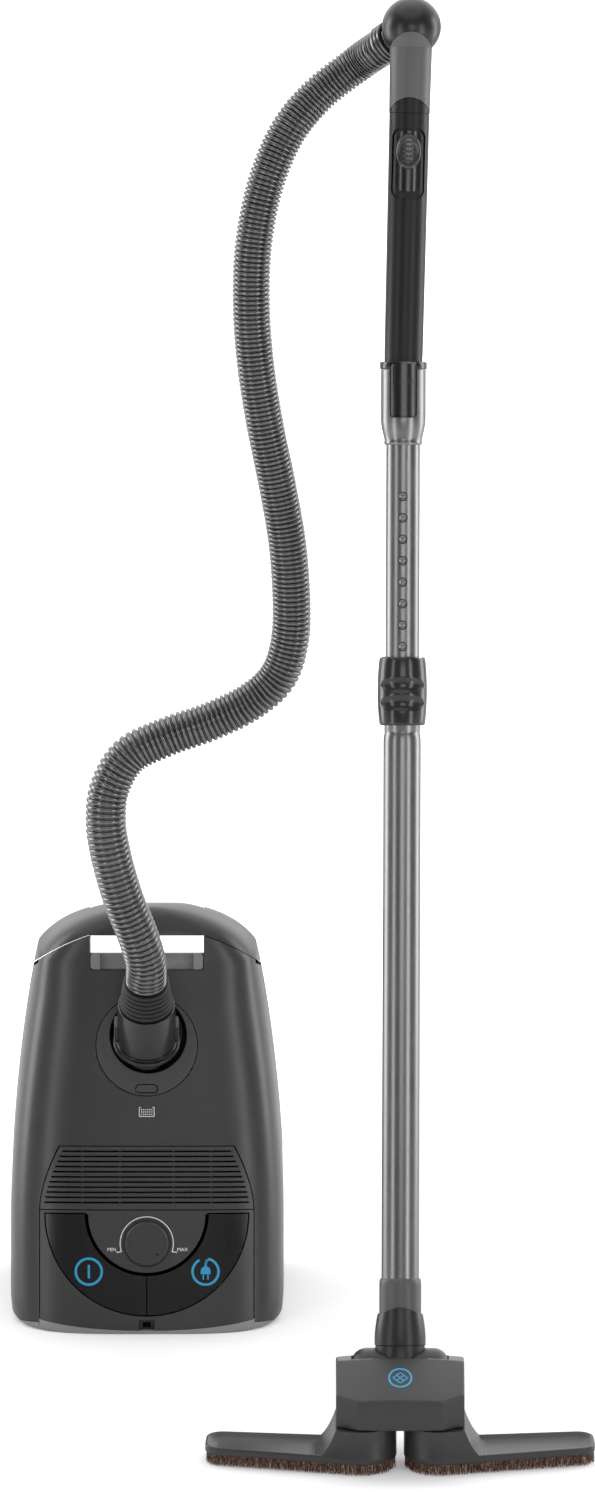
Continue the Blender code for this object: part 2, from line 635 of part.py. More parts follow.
def bend_relief():
    """A tapered sleeve with rings, where the hose leaves its cuff; it turns in the cuff."""
    base, tip, rings = 0.0262, 0.0222, 4
    profile = []
    for i in range(rings):
        up = RELIEF_LENGTH * (1 - i / rings)
        radius = tip + (base - tip) * i / rings
        profile += [(radius, up), (radius + 0.0008, up - 0.0034), (radius - 0.0010, up - 0.0036)]
    profile += [(base, 0), (0.0165, 0), (0.0165, RELIEF_LENGTH)]
    return turned("bend_relief", profile, RELIEF, "rubber", steps=20)


SEAL = frame("seal", FACE, (0, 0.0240, 0.2755), (math.radians(90), 0, 0))
RELIEF = frame("relief", INLET, (0, 0, CUFF_LENGTH + GAP))
UNDER_PEDALS = arc((0, PEDAL_CENTRE), PEDAL_OUTER - 0.004, 180, 360, 18)
PEDAL_HOLLOW = keep(prism("pedal_hollow", UNDER_PEDALS, 0.006, 0.05, FACE),
                    canister_form("under_pedals", 0.005, LEVELS[:4], CANISTER))
control_panel()
pedal("power_pedal", (180, 269.6))
pedal("rewind_pedal", (270.4, 360))
speed_knob()
exhaust_grille()
inlet_parts()
bend_relief()


# ---------------------------------------------------------------- inside the canister

def inner_parts():
    """The bag chamber at the top, the motor and the cord reel below it, and the filters between them."""
    hole = rod("fan_hole", (0, 0.135, 0.17), (0, 0.135, 0.20), 0.045, CANISTER, steps=24)
    wall = canister_form("bulkhead", SKIN + 0.0006, (0.1860, 0.1885), CANISTER, "inner")
    for side in (-1, 1):
        cut(wall, across_box("skirt_swing", side, 0.1180, 0.2, (-0.1, 0.17), (0.1, 0.2)))
    cut(wall, box("lid_swing", (-FAR, -FAR, -FAR), (FAR, 0.0050, FAR), FACE), hole)
    box("motor_filter", (-0.052, 0.085, 0.1892), (0.052, 0.185, 0.1962), CANISTER, "filter", bevel=0.002)
    box("dust_bag", (-0.085, 0.118, 0.2000), (0.085, 0.192, 0.3020), CANISTER, "paper", bevel=0.022)
    collar = box("bag_collar", (-0.044, 0.0300, 0.2330), (0.044, 0.0325, 0.3180), FACE, "paper")
    cut(collar, rod("collar_hole", (0, 0, 0.2755), (0, 0.1, 0.2755), 0.0215, FACE, steps=24))
    turned("motor_casing", [(0.0400, 0.1840), (0.0500, 0.1800), (0.0500, 0.1050), (0.0300, 0.0950),
                            (0.0300, 0.0600), (0.0270, 0.0600), (0.0270, 0.0970), (0.0470, 0.1080),
                            (0.0470, 0.1780), (0.0400, 0.1780)], MOTOR, "inner", steps=28)
    turned("motor_rotor", [(0, 0.1740), (0.0100, 0.1740), (0.0440, 0.1600), (0.0440, 0.1560),
                           (0.0060, 0.1540), (0.0060, 0.1020), (0.0230, 0.0950), (0.0230, 0.0650),
                           (0, 0.0650)], MOTOR, "steel")
    turned("cord_reel", [(0.0720, 0.0520), (0.0720, 0.0500), (0.0300, 0.0500), (0.0300, 0.0170),
                         (0.0720, 0.0170), (0.0720, 0.0150), (0.0062, 0.0150), (0.0062, 0.0520)],
           MOTOR, "black", steps=28)
    turned("reel_axle", [(0, 0.0560), (0.0058, 0.0560), (0.0058, 0.0120), (0.0150, 0.0120), (0.0150, 0.0034),
                         (0, 0.0034)], MOTOR, "inner", steps=16)
    box("exhaust_filter", (-0.078, 0.0120, 0.1280), (0.078, 0.0340, 0.1780), FACE, "filter", bevel=0.002)
    board = box("circuit_board", (-0.030, 0.0160, 0.0700), (0.030, 0.0180, 0.1150), FACE, "board")
    cut(board, rod("spindle_room", (0, 0, KNOB_HEIGHT), (0, 0.1, KNOB_HEIGHT), 0.0060, FACE, steps=12))
    turned("cord_outlet", [(0.0110, 0.0022), (0.0110, 0.0004), (0.0080, 0.0004), (0.0080, -0.0080),
                           (0.0050, -0.0080), (0.0050, 0.0022)], OUTLET, "black", steps=16)
    socket = box("parking_socket", (-0.0070, 0.0060, 0.0034), (0.0070, 0.0200, 0.0131), CANISTER, "black")
    cut(socket, box("socket_slot", (-0.0040, -0.1, 0.0050), (0.0040, 0.0170, 0.0110), CANISTER))


def wheel_rod(name, side, inner, outer, radius, look=None, steps=24):
    """A round bar on one wheel's axis."""
    return rod(name, (side * inner, *WHEEL_AT), (side * outer, *WHEEL_AT), radius, CANISTER, look, steps)


def wheels():
    for side, word in ((-1, "left"), (1, "right")):
        wheel = wheel_rod(f"wheel_{word}", side, WHEEL_INNER, WHEEL_OUTER, WHEEL_RADIUS, "rubber", 36)
        dish = wheel_rod(f"dish_{word}", side, WHEEL_OUTER - 0.006, 0.2, WHEEL_RADIUS - 0.012, steps=28)
        cut(wheel, dish, wheel_rod(f"eye_{word}", side, 0.05, 0.3, 0.0061, steps=16))
        wheel_rod(f"axle_{word}", side, WELL_INNER + GAP, WHEEL_OUTER - 0.004, 0.0056, "steel", 16)


def caster():
    deep, up = CASTER_AT
    plate = rod("caster_fork", (0, 0.2006, up), (0, 0.2060, up), 0.0300, CANISTER, "black", steps=28)
    for side in (-1, 1):
        tall = (up - 0.0080, up + 0.0080)
        join(plate, across_box("cheek", side, 0.0095, 0.0130, (0.2050, deep + 0.0060), tall))
    cut(plate, rod("fork_eye", (-0.1, deep, up), (0.1, deep, up), 0.0029, CANISTER, steps=12))
    wheel = rod("caster_wheel", (-0.0085, deep, up), (0.0085, deep, up), CASTER_RADIUS, CANISTER, "rubber",
                steps=28)
    cut(wheel, rod("caster_eye", (-0.1, deep, up), (0.1, deep, up), 0.0030, CANISTER, steps=12))
    rod("caster_axle", (-0.0130, deep, up), (0.0130, deep, up), 0.0025, CANISTER, "steel", steps=12)


MOTOR = frame("motor_axis", CANISTER, (0, 0.135, 0))
OUTLET = frame("outlet_axis", CANISTER, (0.070, BODY_DEPTH, 0.030), (math.radians(-90), 0, 0))
inner_parts()
wheels()
caster()


# ---------------------------------------------------------------- hose

def catmull_rom(points, share):
    """A point on the smooth curve through four neighbouring points, between the middle two."""
    before, start, end, after = (Vector(p) for p in points)
    slope_in, slope_out = (end - before) / 2, (after - start) / 2
    square, cube = share ** 2, share ** 3
    return ((2 * cube - 3 * square + 1) * start + (cube - 2 * square + share) * slope_in
            + (3 * square - 2 * cube) * end + (cube - square) * slope_out)


def smooth_route(points, count):
    """Evenly spaced points on the smooth curve through a route."""
    points = [Vector(p) for p in points]
    ends = [points[0] * 2 - points[1], *points, points[-1] * 2 - points[-2]]
    fine = [catmull_rom(ends[i:i + 4], step / 20) for i in range(len(points) - 1) for step in range(20)]
    fine.append(points[-1])
    lengths = [0]
    for a, b in zip(fine, fine[1:]):
        lengths.append(lengths[-1] + (b - a).length)
    route, at = [], 0
    for i in range(count):
        wanted = lengths[-1] * i / (count - 1)
        while at < len(fine) - 2 and lengths[at + 1] < wanted:
            at += 1
        share = (wanted - lengths[at]) / (lengths[at + 1] - lengths[at])
        route.append(fine[at].lerp(fine[at + 1], share))
    return route


def hose():
    """The hose, with a short straight stub at each end that meets its neighbour squarely."""
    up = Vector((0, 0, RELIEF_LENGTH + GAP))
    start, start_stub = RELIEF.matrix_world @ up, RELIEF.matrix_world @ (up + Vector((0, 0, HOSE_STUB)))
    out = COLLAR_END + GAP
    end, end_stub = BALL.matrix_world @ (EXIT_WAY * out), BALL.matrix_world @ (EXIT_WAY * (out + HOSE_STUB))
    route = [start, *smooth_route([start_stub, *HOSE_ROUTE, end_stub], HOSE_POINTS), end]
    curve = bpy.data.curves.new("hose", "CURVE")
    curve.dimensions = "3D"
    curve.bevel_depth = HOSE_RADIUS
    curve.bevel_resolution = 2
    curve.use_fill_caps = True
    spline = curve.splines.new("POLY")
    spline.points.add(len(route) - 1)
    for point, at in zip(spline.points, route):
        point.co = (*at, 1)
    return place("hose", curve, None, "hose")


# ---------------------------------------------------------------- wand and handle

NOZZLE = frame("nozzle", location=NOZZLE_AT)
WAND = frame("wand", NOZZLE, (0, PIVOT_BACK, PIVOT_HEIGHT), (-WAND_LEAN_BACK, WAND_LEAN_SIDE, 0))
GRIP = frame("grip", WAND, (0, 0, GRIP_AT), (0, GRIP_LEAN_SIDE, 0))
BALL = frame("ball", GRIP, (0, 0, BALL_AT))


def tube(name, sides, bore, parent, look, steps=24):
    """A turned tube: its outer profile from the top down, and one straight bore."""
    return turned(name, [*sides, (bore, sides[-1][1]), (bore, sides[0][1])], parent, look, steps)


def wand_tubes():
    outer, inner = LOWER_TUBE_RADIUS, LOWER_TUBE_RADIUS - TUBE_WALL - 0.0001
    tube("lower_tube", [(outer, LOWER_TUBE_TOP), (outer, 0.060)], inner, WAND, "steel")
    outer, inner = UPPER_TUBE_RADIUS, UPPER_TUBE_RADIUS - TUBE_WALL
    tube("upper_tube", [(outer, COLLAR_BOTTOM + 0.006), (outer, UPPER_TUBE_BOTTOM)], inner, WAND, "steel")
    step = LOWER_TUBE_TOP + 0.010
    ends, middle = SLEEVE_RADIUS - 0.0022, (SLEEVE_BOTTOM + SLEEVE_TOP) / 2
    turned("telescope_sleeve", [(ends, SLEEVE_TOP), (SLEEVE_RADIUS, SLEEVE_TOP - 0.016),
                                (SLEEVE_RADIUS + 0.0004, middle), (SLEEVE_RADIUS, SLEEVE_BOTTOM + 0.016),
                                (ends, SLEEVE_BOTTOM), (LOWER_TUBE_RADIUS + 0.0006, SLEEVE_BOTTOM),
                                (LOWER_TUBE_RADIUS + 0.0006, step), (UPPER_TUBE_RADIUS + 0.0006, step),
                                (UPPER_TUBE_RADIUS + 0.0006, SLEEVE_TOP)], WAND, "black")


def collar_parts():
    """The flared metal collar that the handle plugs into, its trim and its latch button."""
    wall, flare = 0.0010, COLLAR_BOTTOM + 0.026
    throat = UPPER_TUBE_RADIUS + 0.0004
    collar = turned("wand_collar", [(COLLAR_RADIUS, COLLAR_TOP), (COLLAR_RADIUS, flare),
                                    (0.0202, COLLAR_BOTTOM + 0.014), (0.0178, COLLAR_BOTTOM + 0.005),
                                    (0.0176, COLLAR_BOTTOM), (throat, COLLAR_BOTTOM),
                                    (throat, COLLAR_BOTTOM + 0.007), (COLLAR_RADIUS - wall, flare + 0.002),
                                    (COLLAR_RADIUS - wall, COLLAR_TOP)], WAND, "steel")
    low, high = LATCH_WINDOW
    cut(collar, box("latch_window", (-0.0130, -0.03, low), (0.0130, -0.01, COLLAR_TOP + 0.01), WAND))
    outer, inner = COLLAR_RADIUS + 0.0010, GRIP_RADIUS + 0.0006
    ring = tube("collar_trim", [(outer, GRIP_AT), (outer, COLLAR_TOP + GAP)], inner, WAND, "black")
    cut(ring, box("trim_window", (-0.0130, -0.03, low), (0.0130, -0.0190, GRIP_AT + 0.01), WAND))
    box("latch_button", (-0.0122, -0.0255, low + 0.0008), (0.0122, -0.0216, GRIP_AT - 0.002), WAND, "black",
        bevel=0.0015)


def handle_parts():
    bleed_low, bleed_high = BLEED_SEAT
    plug = PLUG_BOTTOM - GRIP_AT
    grip = tube("handle_grip", [(GRIP_TOP_RADIUS, GRIP_END), (GRIP_RADIUS, 0.001), (GRIP_RADIUS, plug)],
                GRIP_BORE, GRIP, "black", steps=28)
    face, half = -GRIP_TOP_RADIUS, BLEED_HALF_WIDTH
    seat = box("bleed_seat", (-half, face - 0.01, bleed_low), (half, face + 0.0022, bleed_high), GRIP)
    hole = box("bleed_hole", (-0.004, -0.03, 0.192), (0.004, -0.01, 0.204), GRIP)
    cut(grip, seat, hole)
    wide, tall = BLEED_SLIDER_HALF
    base, top = (0, face + 0.0018, BLEED_SLIDER_AT), (0, face - 0.0014, BLEED_SLIDER_AT)
    slider = rod("bleed_slider", base, top, wide, GRIP, "black", steps=24, end_radius=wide - 0.0012)
    for vert in slider.data.vertices:
        vert.co.z = BLEED_SLIDER_AT + (vert.co.z - BLEED_SLIDER_AT) * tall / wide


def handle_sleeve():
    """The sleeve between the grip and the ball, cut away where the hose's collar turns."""
    sleeve = tube("handle_sleeve", [(0.0204, NECK_SLEEVE_END), (0.0204, 0.300),
                                    (GRIP_TOP_RADIUS + 0.0002, GRIP_END + GAP)], GRIP_BORE, GRIP, "grey")
    cut(sleeve, collar_room("sleeve_notch"))


def collar_room(name):
    """The room that the hose's collar needs to turn in."""
    clearance = 0.0005
    start = EXIT_WAY * (COLLAR_START - clearance)
    return rod(name, start, EXIT_WAY * 0.06, COLLAR_OUTSIDE + clearance, BALL)


def elbow_parts():
    """The hollow ball that turns the air from the handle into the hose, and the hose's collar."""
    shape = bmesh.new()
    bmesh.ops.create_uvsphere(shape, u_segments=24, v_segments=12, radius=BALL_RADIUS)
    ball = place("handle_elbow", finish_mesh("handle_elbow", shape, smooth=True), BALL, "black")
    below = rod("elbow_inlet", (0, 0, -0.05), (0, 0, NECK_SLEEVE_END - BALL_AT + GAP), 0.0208, BALL)
    arch = arc((0, -0.0268), 0.0216, 0, 180, 10) + [(-0.0216, -0.06), (0.0216, -0.06)]
    window = prism("elbow_window", arch, -0.05, 0, BALL)
    bore = rod("elbow_bore", (0, 0, 0), (0, 0, -0.010), GRIP_BORE, BALL, steps=24)
    hollow = rod("elbow_hollow", EXIT_WAY * -0.004, EXIT_WAY * 0.06, COLLAR_BORE, BALL, steps=24)
    cut(ball, below, window, bore, collar_room("elbow_outlet"), hollow)
    start, end = EXIT_WAY * COLLAR_START, EXIT_WAY * COLLAR_END
    collar = rod("hose_collar", start, end, COLLAR_OUTSIDE, BALL, "black")
    cut(collar, rod("collar_bore", EXIT_WAY * 0, EXIT_WAY * 0.06, COLLAR_BORE, BALL))


bpy.context.view_layer.update()
EXIT_WAY = BALL.matrix_world.to_3x3().inverted() @ Vector(HOSE_EXIT).normalized()
hose()
wand_tubes()
collar_parts()
handle_parts()
handle_sleeve()
elbow_parts()


# ---------------------------------------------------------------- floor nozzle

def nozzle_joint():
    """The grey socket on the tube, the neck that twists in it, and the barrel that tilts in the block."""
    tube("nozzle_socket", [(0.0198, SOCKET_TOP), (SOCKET_RADIUS, 0.088), (SOCKET_RADIUS, 0.0535)],
         LOWER_TUBE_RADIUS + 0.0004, WAND, "grey")
    turned("nozzle_neck", [(0.0230, 0.0610), (0.0248, 0.0430), (0.0248, 0.0295), (0.0150, 0.0295),
                           (0.0150, 0.0520), (SOCKET_RADIUS + 0.0006, 0.0525),
                           (SOCKET_RADIUS + 0.0006, 0.0610)], WAND, "black")
    left, right = (-BARREL_HALF, 0, 0), (BARREL_HALF, 0, 0)
    barrel = rod("tilt_barrel", left, right, BARREL_RADIUS, WAND, "black", steps=32)
    rim = rod("barrel_rim", (0, 0, 0), (0, 0, 0.0291), 0.0240, WAND, steps=24)
    bore = rod("barrel_bore", (0, 0, -0.002), (0, 0, 0.05), 0.0150, WAND, steps=24)
    out = rod("barrel_outlet", (0, 0.000, 0.004), (0, -0.03, -0.03), 0.0130, WAND, steps=16)
    cut(join(barrel, rim), bore, out)


def nozzle_block():
    half = BLOCK_HALF_WIDTH
    shoulder = BLOCK_FRONT_AT + BLOCK_CHAMFER
    front = [(-half, shoulder), (-BLOCK_FRONT_HALF, BLOCK_FRONT_AT), (BLOCK_FRONT_HALF, BLOCK_FRONT_AT),
             (half, shoulder)]
    plan = front + [(half, BLOCK_BACK), (-half, BLOCK_BACK)]
    block = prism("nozzle_block", plan, BLOCK_BOTTOM, 0.12, NOZZLE, "shell", axis="Z")
    back = BLOCK_BACK + 0.01
    side_view = [(-0.03, 0.03), (-0.03, BLOCK_FRONT_TOP - 0.012), (0, BLOCK_FRONT_TOP),
                 (BLOCK_CREST_BACK, BLOCK_CREST), (back, BLOCK_BACK_TOP), (back, 0.03)]
    keep(block, side_prism("block_side_view", side_view, -0.1, 0.1, NOZZLE))
    pocket = rod("barrel_pocket", (-BARREL_HALF - 0.0006, PIVOT_BACK, PIVOT_HEIGHT),
                 (BARREL_HALF + 0.0006, PIVOT_BACK, PIVOT_HEIGHT), BARREL_RADIUS + 0.0007, NOZZLE, steps=32)
    swing = box("neck_swing", (-0.0262, PIVOT_BACK, 0.0570), (0.0262, 0.13, 0.13), NOZZLE)
    front_swing = box("neck_front_swing", (-0.0262, 0.060, 0.0960), (0.0262, 0.13, 0.13), NOZZLE)
    cut(block, pocket, swing, front_swing)
    for side in (-1, 1):
        post = (side * TURRET_OFFSET, TURRET_RADIUS)
        eye = rod(f"post_eye_{side}", (*post, 0.03), (*post, 0.0600), 0.0056, NOZZLE, steps=16)
        low, high = (side * 0.016, 0.042, 0.04), (side * 0.010, 0.066, 0.060)
        duct = rod(f"duct_{side}", low, high, 0.0085, NOZZLE, steps=16)
        cut(block, eye, duct)


def wing_outline(side, inset):
    """A wing's plan: the tangent outline round its turret and its tip."""
    circles = [(TURRET_OFFSET, TURRET_RADIUS, TURRET_RADIUS), *TIP_CIRCLES]
    points = []
    for x, y, radius in circles:
        points += [Vector((side * px, py)) for px, py in arc((x, y), radius - inset, 0, 348.75, 31)]
    return [points[i] for i in convex_hull_2d(points)]


def wing(side, word):
    low = BRISTLE_TOP + 0.0003
    plate = prism(f"wing_{word}", wing_outline(side, 0), low, ARM_TOP, NOZZLE, "shell", axis="Z")
    post, radius = (side * TURRET_OFFSET, TURRET_RADIUS), TURRET_RADIUS - 0.00005
    turret = rod(f"turret_{word}", (*post, 0.0100), (*post, TURRET_TOP), radius, NOZZLE, steps=32)
    channel = prism(f"channel_{word}", wing_outline(side, 0.0105), 0, 0.0150, NOZZLE, axis="Z")
    eye = rod(f"turret_eye_{word}", (*post, 0.02), (*post, 0.05), 0.0056, NOZZLE, steps=16)
    duct_at = (side * 0.023, 0.040)
    duct = rod(f"turret_duct_{word}", (*duct_at, 0.005), (*duct_at, 0.05), 0.0075, NOZZLE, steps=16)
    cut(join(plate, turret), channel, eye, duct)
    rim = wing_outline(side, 0.0015)
    bristles = prism(f"bristles_{word}", rim, 0, BRISTLE_TOP, NOZZLE, "bristle", axis="Z")
    cut(bristles, prism(f"mouth_{word}", wing_outline(side, 0.0095), -0.01, 0.02, NOZZLE, axis="Z"))
    rod(f"pivot_pin_{word}", (*post, 0.0215), (*post, 0.0590), 0.0052, NOZZLE, "steel", steps=16)


nozzle_joint()
nozzle_block()
wing(-1, "left")
wing(1, "right")
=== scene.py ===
"""Visual model of the canister vacuum cleaner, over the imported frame.

Each visible CAD node is either shown as it is with a better material, or replaced by a finer
piece of the same form, with rounded edges, seams, corrugations, bristles and printed marks.
"""

import math
import random

import bmesh
import bpy
from mathutils import Matrix, Vector
from mathutils.geometry import convex_hull_2d


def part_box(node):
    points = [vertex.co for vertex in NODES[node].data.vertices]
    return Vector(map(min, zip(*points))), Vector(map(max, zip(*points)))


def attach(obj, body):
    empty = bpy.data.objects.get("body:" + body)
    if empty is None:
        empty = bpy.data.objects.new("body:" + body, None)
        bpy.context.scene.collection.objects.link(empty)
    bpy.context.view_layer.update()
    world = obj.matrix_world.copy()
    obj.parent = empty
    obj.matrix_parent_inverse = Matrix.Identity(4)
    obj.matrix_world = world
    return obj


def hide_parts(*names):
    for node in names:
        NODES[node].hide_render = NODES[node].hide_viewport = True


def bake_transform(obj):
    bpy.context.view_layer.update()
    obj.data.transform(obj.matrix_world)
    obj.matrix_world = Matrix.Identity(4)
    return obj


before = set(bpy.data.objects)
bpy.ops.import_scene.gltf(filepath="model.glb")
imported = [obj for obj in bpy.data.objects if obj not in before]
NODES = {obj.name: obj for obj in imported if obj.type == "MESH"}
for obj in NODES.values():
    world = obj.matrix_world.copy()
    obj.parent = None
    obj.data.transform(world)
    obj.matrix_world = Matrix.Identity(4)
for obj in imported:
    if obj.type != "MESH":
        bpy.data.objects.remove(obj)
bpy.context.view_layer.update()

# ---------------------------------------------------------------- dimensions, in metres

GAP = 0.0004
SEAM_GAP = 0.0005   # half the visible gap between two casings
FAR = 0.5
MERGE = 0.000004   # points closer than this are one
FINE, FINEST = 96, 128   # segments of the rounder forms

CANISTER_AT = (-0.1504, 0.093, 0)
HALF_WIDTH = 0.1346
TAPER_START, TAPER_AT_SHOULDER, SHOULDER_HEIGHT, TAPER_POWER = 0.090, 0.024, 0.333, 1.709
ARCH_HALF_WIDTH, ARCH_CENTRE, ARCH_RISE = 0.115, 0.322, 0.080
BODY_TOP = ARCH_CENTRE + ARCH_RISE
BODY_DEPTH = 0.235
FACE_SLOPE, TOP_END_SLOPE, INLET_SLOPE = math.radians(15), math.radians(17), math.radians(45)
DOME_POWER, DOME_DEPTH, DOME_SHARE = 4.0, 0.090, 0.62
NOSE_START, NOSE_BACK_TOP = 0.250, 0.125
FRONT_CURL_START, FRONT_CURL = 0.372, 0.017
BACK_CORNER, SKIN, PARTING = 0.030, 0.003, 0.090
FOOT_ROUND = 0.012
FORM_LEVELS = 52
FRONT_STEPS = 72

TOP_END_AT = (0, 0.0036, 0.0307)
SEAM_MIDDLE, SEAM_CURVE = 0.3708, 2.87
GRIP_HALF_WIDTH, GRIP_DEPTH = 0.056, 0.038
GRIP_BOTTOM, FINGER_FLOOR, LATCH_BOTTOM, LATCH_DEPTH, INNER_TOP = 0.361, 0.344, 0.3275, 0.012, 0.3365

PANEL_HALF_WIDTH, PANEL_TOP = 0.1055, 0.1222
GRILLE_TOP, GRILLE_TOP_HALF_WIDTH, GRILLE_POWER = 0.1850, 0.0860, 1.7
SLOT_COUNT, SLOT_LOW, SLOT_PITCH, SLOT_HEIGHT = 11, 0.1285, 0.00504, 0.0019
RIB_WIDTH, RIBS_AT = 0.0014, (-0.0633, -0.0263, 0.0263, 0.0633)
PEDAL_CENTRE, PEDAL_OUTER, PEDAL_INNER = 0.1180, 0.0995, 0.0610
PEDAL_CLEARANCE, PEDAL_BACK = 0.0014, 0.020
KNOB_HEIGHT, KNOB_RADIUS, KNOB_PROUD = 0.0893, 0.0215, 0.006
POWER_MARK_AT, REWIND_MARK_AT = (-0.0570, 0.0615), (0.0578, 0.0615)
MARK_RADIUS, MARK_STROKE = 0.0128, 0.0024
BUMPER_HEIGHT, BUMPER_RISE, SKIRT_CLEARED = 0.003, 0.008, 0.048

RING_HEIGHT, RING_RADIUS = 0.2843, 0.0500
RECESS_HEIGHT, RECESS_RADIUS, RECESS_SHIFT = 0.2945, 0.0378, 0.0015
WINDOW_HEIGHT = 0.2416
INLET_AT = (0, -0.003, 0.2867)
CUFF_RADIUS, CUFF_LENGTH, RELIEF_LENGTH = 0.0290, 0.057, 0.031
WHEEL_AT, WHEEL_RADIUS = (0.190, 0.075), 0.055
WHEEL_INNER, WHEEL_OUTER, WELL_INNER = 0.105, 0.130, 0.101
CASTER_AT, CASTER_RADIUS = (0.227, 0.285), 0.018

NOZZLE_AT = (0.0968, -0.338, 0)
PIVOT_HEIGHT, PIVOT_BACK, BARREL_RADIUS, BARREL_HALF = 0.076, 0.080, 0.027, 0.0465
WAND_LEAN_BACK, WAND_LEAN_SIDE, GRIP_LEAN_SIDE = math.radians(17), math.radians(0.2), math.radians(1.2)
SOCKET_TOP, SOCKET_RADIUS = 0.094, 0.0203
LOWER_TUBE_TOP, LOWER_TUBE_RADIUS = 0.650, 0.0182
SLEEVE_BOTTOM, SLEEVE_TOP, SLEEVE_RADIUS = 0.628, 0.694, 0.0238
UPPER_TUBE_BOTTOM, UPPER_TUBE_RADIUS = 0.560, 0.0164
SCOOPS_AT, SCOOP_REACH, SCOOP_HEIGHT, SCOOP_DEPTH = (0.325, 0.585), math.radians(62), 0.0078, 0.0021
COLLAR_BOTTOM, COLLAR_TOP, COLLAR_RADIUS = 0.899, 0.9715, 0.0218
LATCH_LOW = 0.925
DIMPLE_TOP, DIMPLE_PITCH, DIMPLE_COUNT, DIMPLE_RADIUS = 0.849, 0.0207, 8, 0.0048
PLUG_BOTTOM, GRIP_AT = 0.935, 0.979
GRIP_RADIUS, GRIP_TOP_RADIUS, GRIP_BORE = 0.0184, 0.0194, 0.0150
BLEED_SEAT, BLEED_HALF_WIDTH = (0.157, 0.226), 0.0155
BLEED_SLIDER_AT, BLEED_SLIDER_HALF = 0.203, (0.0120, 0.0175)
GRIP_END, NECK_SLEEVE_END, BALL_AT, BALL_RADIUS = 0.240, 0.320, 0.324, 0.0286
HOSE_EXIT = Vector((-0.665, 0.452, -0.594)).normalized()
COLLAR_START, COLLAR_END, COLLAR_OUTSIDE, COLLAR_BORE = 0.0260, 0.0400, 0.0219, 0.0160

TURRET_OFFSET, TURRET_RADIUS, TURRET_TOP = 0.0374, 0.0340, 0.0450
TIP_CIRCLES = ((0.1722, 0.0460, 0.0160), (0.1712, 0.0660, 0.0160))
ARM_TOP, POST_RADIUS = 0.0190, 0.0056
ARM_BOTTOM, BRISTLE_ROOT = 0.0115, 0.0122
BLOCK_HALF_WIDTH, BLOCK_BOTTOM, BLOCK_FRONT_TOP = 0.0620, 0.0456, 0.0730
BLOCK_BACK, BLOCK_CREST, BLOCK_CREST_BACK, BLOCK_BACK_TOP = 0.108, 0.0975, 0.060, 0.084
BLOCK_FRONT_AT, BLOCK_FRONT_HALF, BLOCK_CHAMFER = 0.0015, 0.0405, 0.0120

HOSE_STUB = 0.006
HOSE_WIDE, HOSE_NARROW, HOSE_GROOVE = 0.0202, 0.0184, 0.0028
HOSE_RING = (   # shares of the pitch and of the groove's depth, along one ring
    (0, 1), (0.07, 0.86), (0.15, 0.40), (0.26, 0.09), (0.40, 0), (0.60, 0), (0.74, 0.09), (0.85, 0.40),
    (0.93, 0.86),
)
HOSE_SAMPLES, HOSE_STEPS, HOSE_KNOT_STEPS, HOSE_PATH_POINTS = 4000, 40, 20, 60
HOSE_PITCH_LOW, HOSE_PITCH_HIGH = 0.0056, 0.0046
HOSE_TAPER_START, HOSE_TAPER_SHARE = 0.12, 0.5   # shares of its length
HOSE_ROUTE = (
    (-0.1508, 0.1049, 0.3805), (-0.1580, 0.0940, 0.4100), (-0.1720, 0.0860, 0.4500),
    (-0.1840, 0.0800, 0.4960), (-0.1890, 0.0790, 0.5320), (-0.1850, 0.0830, 0.5660),
    (-0.1660, 0.0900, 0.5960), (-0.1300, 0.0960, 0.6130), (-0.0880, 0.1010, 0.6270),
    (-0.0500, 0.1050, 0.6450), (-0.0225, 0.1080, 0.6690), (-0.0105, 0.1100, 0.7020),
    (-0.0080, 0.1100, 0.7430), (-0.0120, 0.1080, 0.8050), (-0.0220, 0.1050, 0.8670),
    (-0.0340, 0.1030, 0.9290), (-0.0430, 0.1030, 0.9900), (-0.0470, 0.1050, 1.0500),
    (-0.0445, 0.1110, 1.1090), (-0.0330, 0.1220, 1.1650), (-0.0120, 0.1380, 1.2120),
    (0.0180, 0.1530, 1.2460), (0.0567, 0.1579, 1.2761),
)

# Camera, floor and light: a long lens that looks down at the object from in front
CAMERA_TARGET = (-0.0022, 0, 0.629)
CAMERA_DISTANCE, CAMERA_ELEVATION = 20.0, math.radians(17)
PICTURE_HEIGHT, SENSOR, NEAREST, FURTHEST = 1.455, 36, 1, 200
FLOOR_REACH, FLOOR_LEVEL, FLOOR_FADE = 20, -0.0002, (0.55, 1.30)
FLOOR_GLOW, WHITE = 0.22, 1.05
FRONT_GLOW, BACK_GLOW, GLOW_TURN = 0.10, 1.7, (-0.15, 0.75)
LIGHT_AIM = Vector((0, 0, 0.6))
SOFT_BOXES = (   # name, place, width, height, power
    ("left_rim", (-2.4, 0.8, 0.9), 0.9, 2.4, 30),
    ("right_rim", (2.4, 0.8, 0.9), 0.9, 2.4, 26),
    ("left_strip", (-2.0, -1.9, 1.0), 0.5, 2.4, 14),
    ("right_strip", (1.9, -2.0, 1.0), 0.5, 2.4, 18),
    ("front_card", (0.3, -4.0, 2.2), 1.6, 1.2, 18),
)
SUN_POWER, SUN_SPREAD, SUN_TURN = 1.2, math.radians(80), (math.radians(4), math.radians(-3), 0)


# ---------------------------------------------------------------- materials

def set_inputs(node, **values):
    """Set a node's inputs; an underscore stands for a space in a name."""
    for name, value in values.items():
        node.inputs[name.replace("_", " ")].default_value = value


def new_node(tree, kind, **values):
    made = tree.nodes.new("ShaderNode" + kind)
    set_inputs(made, **values)
    return made


